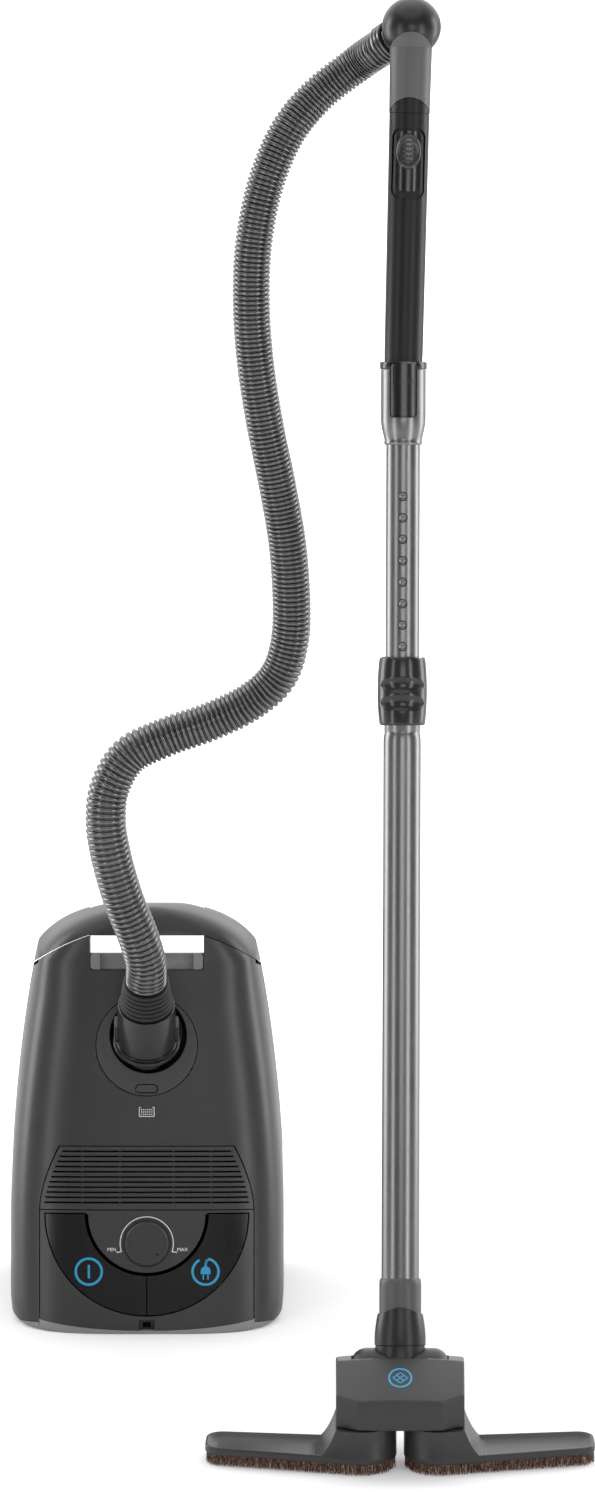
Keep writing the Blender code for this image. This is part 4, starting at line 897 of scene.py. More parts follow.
def crescent(grow, sides=(180, 360)):
    """The pedals' outline: half a ring that hangs from the panel's top."""
    steps = round((sides[1] - sides[0]) / 3)
    outer = arc((0, PEDAL_CENTRE), PEDAL_OUTER + grow, *sides, steps)
    inner = arc((0, PEDAL_CENTRE), PEDAL_INNER - grow, *reversed(sides), steps)
    if grow:
        outer = [(outer[0][0], PEDAL_CENTRE + grow)] + outer + [(outer[-1][0], PEDAL_CENTRE + grow)]
        inner = [(inner[0][0], PEDAL_CENTRE + grow)] + inner + [(inner[-1][0], PEDAL_CENTRE + grow)]
    return outer + inner


def ring_outline(inner, outer):
    """The lower half of a ring round the pedals' centre."""
    return arc((0, PEDAL_CENTRE), outer, 180, 360, 60) + arc((0, PEDAL_CENTRE), inner, 360, 180, 60)


def panel():
    made = keep(form_copy(), front_region(panel_outline(-SEAM_GAP, PANEL_TOP - SEAM_GAP)))
    up = KNOB_HEIGHT
    cut(made, INNER, BASE, front_region(crescent(PEDAL_CLEARANCE)),
        front_region(ring_outline(PEDAL_INNER - 0.0034, PEDAL_INNER)),
        lid_rod(0, up, -0.1, 0.1, 0.0050), lid_rod(0, up, -0.1, 0.0016, KNOB_RADIUS + 0.0018, 72),
        box((-0.0075, -0.01, -0.01), (0.0075, 0.02, 0.0135), CANISTER))
    settle(made, "panel_skin", "panel", "body", ["control_panel"])


def pedals():
    under = arc((0, PEDAL_CENTRE), PEDAL_OUTER - 0.004, 180, 360, 40)
    for name, node, body, sides in (("power_key", "power_pedal", "power", (180, 269.6)),
                                    ("rewind_key", "rewind_pedal", "rewind", (270.4, 360))):
        plate = keep(form_copy(), prism(crescent(0, sides), -0.06, PEDAL_BACK, FACE))
        inside = canister_form(0.005, (0.002, 0.06, 0.12, 0.18), 24)
        cut(plate, keep(prism(under, 0.006, 0.05, FACE), inside))
        settle(plate, name, "pedal", body, [node], bevel=0.0012, segments=3)


def dial():
    """A flat disc with a raised rim, a small marker hollow and a short spindle."""
    up, top, radius = KNOB_HEIGHT, KNOB_PROUD, KNOB_RADIUS
    profile = [(0, top - 0.0006), (radius - 0.0036, top - 0.0006), (radius - 0.0030, top),
               (radius - 0.0014, top), (radius - 0.0002, top - 0.0012), (radius, -0.0006), (0, -0.0006)]
    at = within(FACE, (0, 0, up), math.radians(90))
    disc = turned(profile, at, FINE)
    join(disc, upright(0, -0.012, 0.0040, at))
    mark = (0.0105, -0.0105)
    cut(disc, upright(top - 0.0034, top + 0.01, 0.0014, at, 24, mark))
    settle(disc, "speed_dial", "shell", "knob", ["speed_knob"], bevel=0.0003)


def grille():
    made = keep(form_copy(), front_region(panel_outline(-SEAM_GAP, GRILLE_TOP - SEAM_GAP)))
    cut(made, INNER, box((-0.2, -0.06, -0.05), (0.2, PARTING, PANEL_TOP + SEAM_GAP), FACE))
    slots = []
    for row in range(SLOT_COUNT):
        up = SLOT_LOW + SLOT_PITCH * row
        share = max(0, (up + 0.004 - PANEL_TOP) / (GRILLE_TOP - PANEL_TOP))
        inward = (PANEL_HALF_WIDTH - GRILLE_TOP_HALF_WIDTH) * share ** GRILLE_POWER
        reach = PANEL_HALF_WIDTH - inward - 0.0040
        slots.append(((-reach, -0.05, up), (reach, 0.05, up + SLOT_HEIGHT)))
    grooves = cut(boxes(slots, FACE), canister_form(0.0016, form_levels(0.05, 0.25, 16), 40))
    stops = (-1, *RIBS_AT, 1)
    through = []
    for low, high in slots:
        edges = [max(low[0], min(high[0], stop)) for stop in stops]
        for left, right in zip(edges, edges[1:]):
            through.append(((left + RIB_WIDTH / 2, -0.05, low[2] + 0.0002),
                            (right - RIB_WIDTH / 2, 0.05, high[2] - 0.0002)))
    settle(cut(made, grooves, boxes(through, FACE)), "grille_skin", "panel", "grille", ["exhaust_grille"],
           bevel=0.0002)


def inlet():
    up = RING_HEIGHT
    disc = lid_rod(0, up, 0.0004, 0.0050, RING_RADIUS - 0.0004, FINE)
    window = rounded_box(0.0112, WINDOW_HEIGHT - 0.0045, WINDOW_HEIGHT + 0.0045, 0.0044)
    recess = lid_rod(RECESS_SHIFT, RECESS_HEIGHT, -0.05, 0.05, RECESS_RADIUS, FINE)
    cut(disc, recess, prism(window, -0.05, 0.05, FACE))
    settle(disc, "inlet_disc", "disc", "lid", ["inlet_ring"], bevel=0.0006)
    glass = rounded_box(0.0104, WINDOW_HEIGHT - 0.0037, WINDOW_HEIGHT + 0.0037, 0.0036)
    settle(prism(glass, 0.0011, 0.0046, FACE), "window_glass", "disc", "lid", ["bag_window"])
    bowl_at = within(FACE, (RECESS_SHIFT, 0.0052, RECESS_HEIGHT), math.radians(90))
    outer = RECESS_RADIUS + 0.0012
    bowl = [(outer, 0), (outer, -0.010), (outer - 0.005, -0.0150), (0.0215, -0.0158), (0.0215, -0.0148),
            (outer - 0.0056, -0.0140), (RECESS_RADIUS, -0.010), (RECESS_RADIUS, 0)]
    settle(turned(bowl, bowl_at), "recess_bowl", "black", "lid")


def cuff():
    tip = CUFF_LENGTH
    wide, narrow, bore = CUFF_RADIUS + 0.0003, CUFF_RADIUS - 0.0010, 0.0165
    profile = [(narrow, tip), (narrow + 0.0004, tip - 0.010), (wide - 0.0003, tip - 0.022), (wide, 0.0050),
               (wide + 0.0037, 0.0045), (wide + 0.0037, 0.0004), (wide, 0), (0.0200, 0), (0.0200, -0.018),
               (bore, -0.018), (bore, tip)]
    made = turned(profile, INLET, FINE)
    for side in (-1, 1):
        cut(made, side_box(side, CUFF_RADIUS - 0.0040, 0.05, (-0.0085, 0.0085), (0.0085, 0.0320), INLET))
    settle(made, "cuff_skin", "gloss", "lid", ["hose_cuff"], bevel=0.0007)
    for side, node, body in ((-1, "cuff_catch_left", "left_catch"), (1, "cuff_catch_right", "right_catch")):
        block = side_box(side, CUFF_RADIUS - 0.0012, CUFF_RADIUS + 0.0034, (-0.0075, 0.0095),
                         (0.0075, 0.0310), INLET)
        keep(block, upright(0, 0.04, CUFF_RADIUS + 0.0030, INLET, FINE))
        grooves = [((side * 0.0312 - 0.0012, -0.01, 0.0128 + 0.0028 * i),
                    (side * 0.0312 + 0.0012, 0.01, 0.0140 + 0.0028 * i)) for i in range(6)]
        cut(block, boxes(grooves, INLET))
        settle(block, f"{body}_skin", "gloss", body, [node], bevel=0.0003)


def ribbed_relief():
    """A tapered sleeve of stepped rings, where the hose leaves its cuff."""
    base, tip, rings = 0.0262, 0.0222, 6
    profile = []
    for i in range(rings):
        up = RELIEF_LENGTH * (1 - i / rings)
        radius = tip + (base - tip) * i / rings
        profile += [(radius - 0.0004, up), (radius + 0.0006, up - 0.0008), (radius + 0.0008, up - 0.0030),
                    (radius - 0.0006, up - 0.0036), (radius - 0.0008, up - 0.0048)]
    profile += [(base, 0), (0.0165, 0), (0.0165, RELIEF_LENGTH)]
    settle(turned(profile, RELIEF, 72), "relief_skin", "relief", "relief", ["bend_relief"], bevel=0)


panel()
pedals()
dial()
grille()
inlet()
cuff()
ribbed_relief()


# ---------------------------------------------------------------- printed marks

def surface_point(x, up, lift, at, forms):
    """The point where a line square to a frame's face meets the outermost of some forms."""
    origin, way = at @ Vector((x, -0.2, up)), (at.to_3x3() @ Vector((0, 1, 0))).normalized()
    hits = [form.ray_cast(origin, way) for form in forms]
    near = min((spot for found, spot, _, _ in hits if found), key=lambda spot: (spot - origin).length)
    return near - way * lift


def printed(name, polygons, look, body, at, forms, lift=0.00015, thickness=0.0003):
    """A thin printed mark that follows the surface under it."""
    shape = bmesh.new()
    for polygon in polygons:
        shape.faces.new([shape.verts.new(surface_point(x, up, lift, at, forms)) for x, up in polygon])
    bmesh.ops.remove_doubles(shape, verts=shape.verts, dist=0.00001)
    mark = as_helper(shape, WORLD)
    thick = mark.modifiers.new("thick", "SOLIDIFY")
    thick.thickness = thickness
    thick.offset = 0
    settle(mark, name, look, body, bevel=0)


def ring_band(centre, radius, width, start=0, end=360):
    """Part of a ring, as small four-sided polygons."""
    steps = max(4, round(abs(end - start) / 7.5))
    outer = arc(centre, radius + width / 2, start, end, steps)
    inner = arc(centre, radius - width / 2, start, end, steps)
    return [(outer[i], outer[i + 1], inner[i + 1], inner[i]) for i in range(steps)]


def bar(x0, up0, x1, up1):
    return [((x0, up0), (x1, up0), (x1, up1), (x0, up1))]


def dashes(x0, up0, x1, up1, width):
    """A straight stroke between two points."""
    along = Vector((x1 - x0, up1 - up0)).normalized() * width / 2
    across = Vector((-along.y, along.x))
    a, b = Vector((x0, up0)) - along, Vector((x1, up1)) + along
    return [[tuple(a + across), tuple(a - across), tuple(b - across), tuple(b + across)]]


def lettering(text, size, centre):
    """Plain capitals as flat polygons, centred on a point."""
    curve = bpy.data.curves.new("letters", "FONT")
    curve.body = text
    curve.size = size
    curve.align_x = curve.align_y = "CENTER"
    curve.resolution_u = 3
    drawn = placed("letters", curve)
    mesh = as_it_looks(drawn)
    bpy.data.objects.remove(drawn, do_unlink=True)
    corners = [(v.co.x + centre[0], v.co.y + centre[1]) for v in mesh.vertices]
    polygons = [[corners[i] for i in face.vertices] for face in mesh.polygons]
    bpy.data.meshes.remove(mesh)
    return polygons


def pedal_marks():
    power, plug, radius = POWER_MARK_AT, REWIND_MARK_AT, MARK_RADIUS
    ring = ring_band(power, radius, MARK_STROKE)
    ring += bar(power[0] - 0.0011, power[1] - 0.0066, power[0] + 0.0011, power[1] + 0.0066)
    printed("power_mark", ring, "blue", "power", FACE, [OUTER])
    x, up = plug
    lead = ring_band(plug, radius, MARK_STROKE, 118, 432)
    bends = ((0, 0.0048), (0.0002, 0.0080), (0.0012, 0.0108), (0.0038, 0.0122))
    for (x0, up0), (x1, up1) in zip(bends, bends[1:]):
        lead += dashes(x + x0, up + up0, x + x1, up + up1, 0.0022)
    body = arc((x, up + 0.0005), 0.0048, 0, 180, 10) + [(x - 0.0048, up - 0.0026), (x + 0.0048, up - 0.0026)]
    pins = bar(x - 0.0030, up - 0.0078, x - 0.0016, up - 0.0032)
    pins += bar(x + 0.0016, up - 0.0078, x + 0.0030, up - 0.0032)
    printed("rewind_mark", lead + [body] + pins, "blue", "rewind", FACE, [OUTER])


def panel_marks():
    knob, radius, foot = (0, KNOB_HEIGHT), 0.0262, 0.0044
    sweep = ring_band(knob, radius, 0.0009, -18, 198)
    for side in (-1, 1):
        angle = math.radians(-18)
        x, up = side * radius * math.cos(angle), KNOB_HEIGHT + radius * math.sin(angle)
        sweep += dashes(x, up, x + side * foot, up - 0.0006, 0.0009)
    up = KNOB_HEIGHT - 0.0062
    sweep += lettering("MIN", 0.0050, (-0.0345, up)) + lettering("MAX", 0.0050, (0.0350, up))
    printed("speed_scale", sweep, "white", "body", FACE, [OUTER], thickness=0.0002)


def bag_mark():
    half, low, high, stroke = 0.0076, 0.2140, 0.2236, 0.0007
    made = bar(-half, low, half, low + stroke) + bar(-half, low, -half + stroke, high)
    made += bar(half - stroke, low, half, high)
    made += bar(-half, high - stroke, -half + 0.002, high) + bar(half - 0.002, high - stroke, half, high)
    for row in range(3):
        for column in range(6):
            x, up = -0.0050 + 0.0020 * column, low + 0.0024 + 0.0023 * row
            made += bar(x - 0.0005, up - 0.0005, x + 0.0005, up + 0.0005)
    printed("bag_mark", made, "white", "lid", FACE, [OUTER], thickness=0.0002)


pedal_marks()
panel_marks()
bag_mark()


# ---------------------------------------------------------------- wheels and hidden parts

def wheels():
    for side, word in ((-1, "left"), (1, "right")):
        axis = within(CANISTER, (0, *WHEEL_AT), 0, math.radians(90) * side)
        low, high, radius = WHEEL_INNER, WHEEL_OUTER, WHEEL_RADIUS
        tyre = turned([(radius - 0.007, high - 0.0010), (radius - 0.0030, high), (radius, high - 0.004),
                       (radius, low + 0.004), (radius - 0.0030, low), (radius - 0.007, low)], axis, FINE)
        blocks = []
        for i in range(5):
            up = low + 0.0045 + 0.0038 * i
            blocks.append(((-FAR, -FAR, up), (FAR, FAR, up + 0.0010)))
        grooves = cut(boxes(blocks, axis), upright(0, FAR, radius - 0.0010, axis, FINE))
        settle(cut(tyre, grooves), f"tyre_{word}", "rubber", f"{word}_wheel", [f"wheel_{word}"], bevel=0)
        hub = turned([(0.0061, high - 0.0030), (0.0120, high - 0.0026), (0.0150, high - 0.0070),
                      (0.0400, high - 0.0078), (0.0430, high - 0.0012), (radius - 0.0070, high - 0.0012),
                      (radius - 0.0070, low + 0.001), (0.0061, low + 0.001)], axis, FINE)
        hollows = []
        for i in range(8):
            angle = math.radians(45 * i)
            spot = 0.0275 * math.cos(angle), 0.0275 * math.sin(angle)
            hollows.append(upright(high - 0.0140, high, 0.0068, axis, 32, spot))
        settle(cut(hub, *hollows), f"hub_{word}", "shell", f"{word}_wheel", bevel=0.0006)


def caster():
    deep, up = CASTER_AT
    axis = within(CANISTER, (0, deep, up), 0, math.radians(90))
    radius, half = CASTER_RADIUS, 0.0085
    tyre = [(radius - 0.004, half), (radius - 0.0012, half - 0.0004), (radius, half - 0.002),
            (radius, 0.002 - half), (radius - 0.0012, 0.0004 - half), (radius - 0.004, -half),
            (radius - 0.005, -half + 0.0015),
            (0.0030, -half + 0.0015), (0.0030, half - 0.0015), (radius - 0.005, half - 0.0015)]
    settle(turned(tyre, axis, 72), "caster_tyre", "rubber", "roller", ["caster_wheel"], bevel=0)


BAG_POWER = 4.5   # how square the bag looks

HIDDEN = {
    "steel": ("lid_hinge_rod", "axle_left", "axle_right", "caster_axle", "motor_rotor", "pivot_pin_left",
              "pivot_pin_right"),
    "inner": ("bulkhead", "motor_casing", "reel_axle"),
    "black": ("cord_reel", "caster_fork", "cord_outlet", "parking_socket"),
    "filter": ("motor_filter",),
    "foam": ("exhaust_filter",),
    "paper": ("bag_collar",),
    "board": ("circuit_board",),
    "rubber": ("inlet_seal",),
}


def spread(angle, power):
    """A sine that lingers near its ends, which squares a round form off."""
    value = math.sin(angle)
    return math.copysign(abs(value) ** (2 / power), value)


def dust_bag():
    """A filled bag: a crowned pillow with soft creases and a welded seam round its middle."""
    low, high = (Vector(corner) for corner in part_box("dust_bag"))
    centre, half = (low + high) / 2, (high - low) / 2
    seam, bands, steps = 0.0030, 64, 144
    rings = [[centre - Vector((0, half.y, 0))]]
    for i in range(1, bands):
        polar = math.pi * (i / bands - 0.5)
        deep, wide = half.y * spread(polar, BAG_POWER), spread(polar + math.pi / 2, BAG_POWER)
        ring = []
        for k in range(steps):
            turn = 2 * math.pi * k / steps
            crease = 0.0007 * (1 + math.sin(9 * turn + 2 * polar))
            crease += 0.0006 * (1 + math.sin(17 * turn - 5 * polar))
            out = wide - crease / half.z
            ring.append(centre + Vector(((half.x - seam) * out * spread(turn + math.pi / 2, BAG_POWER), deep,
                                         (half.z - seam) * out * spread(turn, BAG_POWER))))
        rings.append(ring)
        if i == bands // 2:
            for at in (-0.0004, 0.0004):
                rings.append([point + Vector(((point.x - centre.x) / half.x * seam, at,
                                              (point.z - centre.z) / half.z * seam)) for point in ring])
            rings.append([point + Vector((0, 0.0008, 0)) for point in ring])
    rings.append([centre + Vector((0, half.y, 0))])
    settle(loft(rings), "filled_dust_bag", "paper", "body", ["dust_bag"], bevel=0, angle=50)


def carry_over():
    """CAD nodes whose shape is right get their finished material."""
    for look, names in HIDDEN.items():
        for name in names:
            for slot in NODES[name].material_slots:
                slot.material = LOOKS[look]


wheels()
caster()
dust_bag()
carry_over()


# ---------------------------------------------------------------- wand

def tube(sides, bore, at, steps=FINE):
    """A turned tube: its outer profile from the top down, and one straight bore."""
    return turned([*sides, (bore, sides[-1][1]), (bore, sides[0][1])], at, steps)


def lower_tube():
    """The lower tube, with a crimped shoulder under the telescope sleeve."""
    r, shoulder = LOWER_TUBE_RADIUS, SLEEVE_BOTTOM - 0.0075
    sides = [(0.0174, LOWER_TUBE_TOP), (0.0174, shoulder + 0.0020), (0.0170, shoulder + 0.0008),
             (0.0174, shoulder - 0.0004), (0.0179, shoulder - 0.0035), (r, shoulder - 0.0080), (r, 0.060)]
    settle(tube(sides, 0.0166, WAND), "lower_wand_tube", "steel", "lower_wand", ["lower_tube"], bevel=0)


def upper_tube():
    """The upper tube, with the row of pressed hollows that its catch drops into."""
    r = UPPER_TUBE_RADIUS
    made = tube([(r, COLLAR_BOTTOM + 0.006), (r, UPPER_TUBE_BOTTOM)], 0.0120, WAND, FINEST)
    for i in range(DIMPLE_COUNT):
        up = DIMPLE_TOP - DIMPLE_PITCH * i
        at = within(WAND, (0, -r, up), math.radians(90))
        hollow = [(0, -0.0024), (0.0009, -0.0022), (0.0020, -0.0026), (0.0036, -0.0021), (0.0044, -0.0006),
                  (DIMPLE_RADIUS + 0.0003, 0.0012), (DIMPLE_RADIUS + 0.0003, 0.004), (0, 0.004)]
        cut(made, turned(hollow, at, 40))
    settle(made, "upper_wand_tube", "steel", "body", ["upper_tube"], bevel=0.0003, angle=30)


def scooped_sleeve():
    """The telescope's barrel, with two lens-shaped finger scoops on its front and on its back."""
    steps, levels = 144, 66
    height = SLEEVE_TOP - SLEEVE_BOTTOM
    rings = []
    for j in range(levels + 1):
        share = j / levels
        around = []
        for i in range(steps):
            angle = 2 * math.pi * i / steps
            front = math.acos(min(1, abs(math.sin(angle))))
            up = SLEEVE_BOTTOM + height * share
            if j == levels:
                up += 0.0005 * math.cos(5 * angle)
            swell = max(0, 1 - (2 * share - 1) ** 2) ** 0.75
            radius = SLEEVE_RADIUS - 0.0020 + 0.0022 * swell
            edge = min(share, 1 - share) * height
            radius -= 0.0008 * max(0, 1 - edge / 0.0012) ** 2
            for middle in SCOOPS_AT:
                reach = front / SCOOP_REACH
                if reach < 1:
                    tall = SCOOP_HEIGHT * math.sqrt(1 - reach ** 2)
                    off = (share - middle) * height / tall if tall > 0.0002 else 2
                    if abs(off) < 1:
                        radius -= SCOOP_DEPTH * (1 - off ** 2) * math.sqrt(1 - reach ** 2)
            around.append((radius * math.cos(angle), radius * math.sin(angle), up))
        rings.append(around)
    inside = LOWER_TUBE_RADIUS + 0.0006
    step = LOWER_TUBE_TOP + 0.010
    throat = UPPER_TUBE_RADIUS + 0.0006
    bore = [(throat, SLEEVE_TOP - 0.0008), (throat, step), (inside, step), (inside, SLEEVE_BOTTOM)]
    rings += [circle(radius, up, steps) for radius, up in bore]
    settle(loft(rings, WAND, closed=True), "sleeve_grip", "gloss_sleeve", "sleeve", ["telescope_sleeve"],
           bevel=0, angle=50)


def collar():
    """The flared metal collar that the handle plugs into, with the opening for its catch."""
    wall, foot = 0.0010, COLLAR_BOTTOM
    throat = UPPER_TUBE_RADIUS + 0.0004
    flare = [(0, 0.0176), (0.0012, 0.0184), (0.0024, 0.0186), (0.0036, 0.0181), (0.0060, 0.0184),
             (0.0100, 0.0194), (0.0150, 0.0206), (0.0200, 0.0214), (0.0250, 0.0218)]
    sides = [(COLLAR_RADIUS, COLLAR_TOP)] + [(radius, foot + up) for up, radius in reversed(flare)]
    made = turned([*sides, (throat, foot), (throat, foot + 0.007), (COLLAR_RADIUS - wall, foot + 0.028),
                   (COLLAR_RADIUS - wall, COLLAR_TOP)], WAND, FINEST)
    window = rounded_box(0.0130, LATCH_LOW, COLLAR_TOP + 0.02, 0.0042)
    cut(made, prism(window, -0.03, -0.01, WAND))
    settle(made, "flared_collar", "steel", "body", ["wand_collar"], bevel=0.0003)
    outer, inner = COLLAR_RADIUS + 0.0010, GRIP_RADIUS + 0.0006
    ring = tube([(outer - 0.0004, GRIP_AT), (outer, GRIP_AT - 0.0008), (outer, COLLAR_TOP + 0.0012),
                 (outer - 0.0004, COLLAR_TOP + GAP)], inner, WAND, FINEST)
    cut(ring, box((-0.0130, -0.03, LATCH_LOW), (0.0130, -0.0190, GRIP_AT + 0.01), WAND))
    settle(ring, "collar_ring", "gloss", "body", ["collar_trim"], bevel=0.0003)


def tube_catch():
    """The catch button: an upper pad and a longer lower one, with a groove between them."""
    outline = rounded_box(0.0122, LATCH_LOW + 0.0008, GRIP_AT - 0.002, 0.0034)
    curve = upright(0.9, 1.0, 0.0274, WAND, 160, (0, 0.0020))
    made = keep(prism(outline, -0.0262, -0.0216, WAND), curve)
    groove = box((-0.02, -0.03, 0.9590), (0.02, -0.0236, 0.9600), WAND)
    settle(cut(made, groove), "catch_button", "gloss", "tube_latch", ["latch_button"], bevel=0.0009,
           segments=3)


def grip():
    """The black handgrip, with a round-cornered recess for the air slider."""
    low, high = BLEED_SEAT
    plug = PLUG_BOTTOM - GRIP_AT
    r, top = GRIP_RADIUS, GRIP_TOP_RADIUS
    made = tube([(top, GRIP_END), (r + 0.0002, 0.010), (r, 0.001), (r, plug)], GRIP_BORE, GRIP, FINEST)
    seat = prism(rounded_box(BLEED_HALF_WIDTH + 0.0005, low, high, 0.0090, 12), -0.05, -0.002, GRIP)
    floor_of_seat = upright(low - 0.02, high + 0.02, top - 0.0015, GRIP, FINEST)
    slot = rounded_box(0.0085, low + 0.0016, low + 0.0054, 0.0018)
    cut(made, cut(seat, floor_of_seat), prism(slot, -0.05, -top + 0.0030, GRIP),
        box((-0.004, -0.03, 0.192), (0.004, -0.01, 0.204), GRIP))
    settle(made, "grip_skin", "grip", "body", ["handle_grip"], bevel=0.0007, segments=3)
    pad = prism(rounded_box(0.0118, low + 0.0075, high - 0.0030, 0.0080, 12), -0.05, -0.002, GRIP)
    keep(pad, upright(low, high, top - 0.0010, GRIP, FINEST))
    cut(pad, upright(low, high, top - 0.0017, GRIP, FINEST))
    settle(pad, "seat_pad", "gloss", "body", bevel=0.0003)


def curved_ellipse(half_x, half_z, radius, steps=72):
    """An ellipse laid on an upright cylinder of a given radius."""
    points = []
    for i in range(steps):
        angle = 2 * math.pi * i / steps
        x = half_x * math.cos(angle)
        points.append((x, -math.sqrt(radius ** 2 - x ** 2), BLEED_SLIDER_AT + half_z * math.sin(angle)))
    return points


def air_slider():
    """The oval slider over the air hole: a raised rim round a dished face with five finger ridges."""
    wide, tall = BLEED_SLIDER_HALF
    r = GRIP_TOP_RADIUS
    rings = [(0, r - 0.0013), (0, r + 0.0008), (0.0004, r + 0.0014), (0.0011, r + 0.0015),
             (0.0018, r + 0.0009), (0.0030, r + 0.0002), (0.0060, r)]
    made = loft([curved_ellipse(wide - inset, tall - inset, radius) for inset, radius in rings], GRIP)
    settle(made, "air_slider", "slider", "bleed", ["bleed_slider"], bevel=0)
    for i in range(5):
        up = BLEED_SLIDER_AT - 0.0092 + 0.0046 * i
        half = 0.0074 * math.sqrt(1 - ((up - BLEED_SLIDER_AT) / (tall - 0.001)) ** 2)
        rings = []
        for j in range(13):
            x = half * (2 * j / 12 - 1)
            thick = 0.0011 * math.sqrt(max(0.02, 1 - (x / half) ** 2))
            centre = -math.sqrt((r + 0.0002) ** 2 - x ** 2)
            rings.append([(x, centre + thick * math.cos(a), up + thick * math.sin(a))
                          for a in (math.pi * k / 8 for k in range(16))])
        settle(loft(rings, GRIP), f"slider_ridge_{i + 1}", "slider", "bleed", bevel=0)


def sphere_rings(radius, steps=64, bands=40):
    return [circle(radius * math.sin(math.pi * i / bands) if 0 < i < bands else 0,
                   -radius * math.cos(math.pi * i / bands), steps) for i in range(bands + 1)]


def collar_room():
    """The room that the hose's collar needs to turn in."""
    clearance = 0.0005
    start = EXIT_WAY * (COLLAR_START - clearance)
    return rod(start, EXIT_WAY * 0.06, COLLAR_OUTSIDE + clearance, BALL, FINE)


def arch(half, spring, foot):
    """The outline of a round arch in x and z: a half circle on two legs."""
    return arc((0, spring), half, 0, 180, 24) + [(-half, foot), (half, foot)]


def elbow():
    """The grey sleeve whose arched front laps over the black ball, and the black tongue below it."""
    r, top = GRIP_TOP_RADIUS, NECK_SLEEVE_END
    sleeve = tube([(0.0206, top), (0.0204, 0.300), (r + 0.0003, GRIP_END + GAP)], GRIP_BORE, GRIP, FINEST)
    spring, half = -0.0268, 0.0216
    arch_front = prism(arch(half - 0.0004, spring, -0.028), -0.05, -0.006, BALL)
    lap = keep(loft(sphere_rings(BALL_RADIUS + 0.0001), BALL), arch_front)
    tongue_outline = arc((0, GRIP_END - 0.0060), 0.0212, 15, 165, 24)
    below_tongue = [(-0.03, GRIP_END - 0.02), (0.03, GRIP_END - 0.02)]
    tongue_room = prism(tongue_outline + below_tongue, -0.05, -0.004, GRIP)
    cut(join(sleeve, lap), collar_room(), tongue_room)
    settle(sleeve, "elbow_sleeve", "grey", "body", ["handle_sleeve"], bevel=0.0005)
    inner = arc((0, GRIP_END - 0.0060), 0.0207, 15, 165, 24)
    tongue = tube([(r + 0.0002, GRIP_END + 0.018), (r, GRIP_END + GAP)], GRIP_BORE + 0.001, GRIP, FINEST)
    keep(tongue, prism(inner + below_tongue, -0.05, -0.0045, GRIP))
    settle(tongue, "grip_tongue", "grip", "body", bevel=0.0003)
    ball = loft(sphere_rings(BALL_RADIUS, 96, 64), BALL)
    cut(ball, upright(-0.05, top - BALL_AT + GAP, 0.0208, BALL, FINE),
        prism(arch(half, spring, -0.06), -0.05, 0, BALL), upright(0, -0.010, GRIP_BORE, BALL),
        collar_room(), rod(EXIT_WAY * -0.004, EXIT_WAY * 0.06, COLLAR_BORE, BALL))
    settle(ball, "elbow_ball", "ball", "body", ["handle_elbow"], bevel=0.0004)
    along = BALL @ EXIT_WAY.to_track_quat("Z", "Y").to_matrix().to_4x4()
    profile = [(HOSE_NARROW + 0.0006, COLLAR_END)]
    for i in range(3):
        up = COLLAR_END - HOSE_PITCH_HIGH * (i + 0.5)
        profile += [(HOSE_NARROW + 0.0014, up + 0.0012), (HOSE_NARROW + 0.0014, up - 0.0010),
                    (HOSE_NARROW - 0.0008, up - 0.0020), (HOSE_NARROW - 0.0008, up - 0.0024)]
    profile += [(HOSE_NARROW + 0.0006, COLLAR_START), (COLLAR_BORE, COLLAR_START), (COLLAR_BORE, COLLAR_END)]
    settle(turned(profile, along, FINE), "hose_ring", "hose", "hose_end", ["hose_collar"], bevel=0.0003)


lower_tube()
upper_tube()
scooped_sleeve()
collar()
tube_catch()
grip()
air_slider()
elbow()


# ---------------------------------------------------------------- floor nozzle

def nozzle_joint():
    """The grey socket on the tube, the bell neck that twists in it, and the barrel that tilts."""
    socket = tube([(0.0188, SOCKET_TOP), (0.0200, SOCKET_TOP - 0.0014), (SOCKET_RADIUS, 0.088),
                   (SOCKET_RADIUS, 0.0535)], LOWER_TUBE_RADIUS + 0.0004, WAND, FINE)
    settle(socket, "socket_skin", "socket", "lower_wand", ["nozzle_socket"], bevel=0.0004)
    steps = FINE
    outer = [(0.0248, 0.0295), (0.0248, 0.0370), (0.0243, 0.0440), (0.0233, 0.0520), (0.0221, 0.0585)]
    rings = [circle(radius, up, steps) for radius, up in outer]
    for radius in (0.0216, SOCKET_RADIUS + 0.0006):
        rings.append([(x, y, 0.0600 + 0.0062 * max(0, -y / radius) ** 3)
                      for x, y, _ in circle(radius, 0, steps)])
    rings += [circle(SOCKET_RADIUS + 0.0006, 0.0525, steps), circle(0.0150, 0.0520, steps),
              circle(0.0150, 0.0295, steps)]
    settle(loft(rings, WAND, closed=True), "bell_neck", "black", "neck", ["nozzle_neck"], bevel=0.0004)
    half, soft, soft_out = BARREL_HALF, 0.0150, 0.01275
    profile = [(0, half)]
    for i in range(9):
        angle = math.radians(90 * i / 8)
        profile.append((BARREL_RADIUS - soft_out + soft_out * math.sin(angle),
                        half - soft + soft * math.cos(angle)))
    profile += [(radius, -up) for radius, up in reversed(profile)]
    barrel = turned(profile, within(WAND, (0, 0, 0), 0, math.radians(90)), FINE)
    rim = upright(0, 0.0291, 0.0240, WAND, FINE)
    cut(join(barrel, rim), upright(-0.002, 0.05, 0.0150, WAND),
        rod((0, 0, 0.004), (0, -0.03, -0.03), 0.0130, WAND))
    settle(barrel, "tilting_barrel", "black", "neck", ["tilt_barrel"], bevel=0.0010, segments=3)


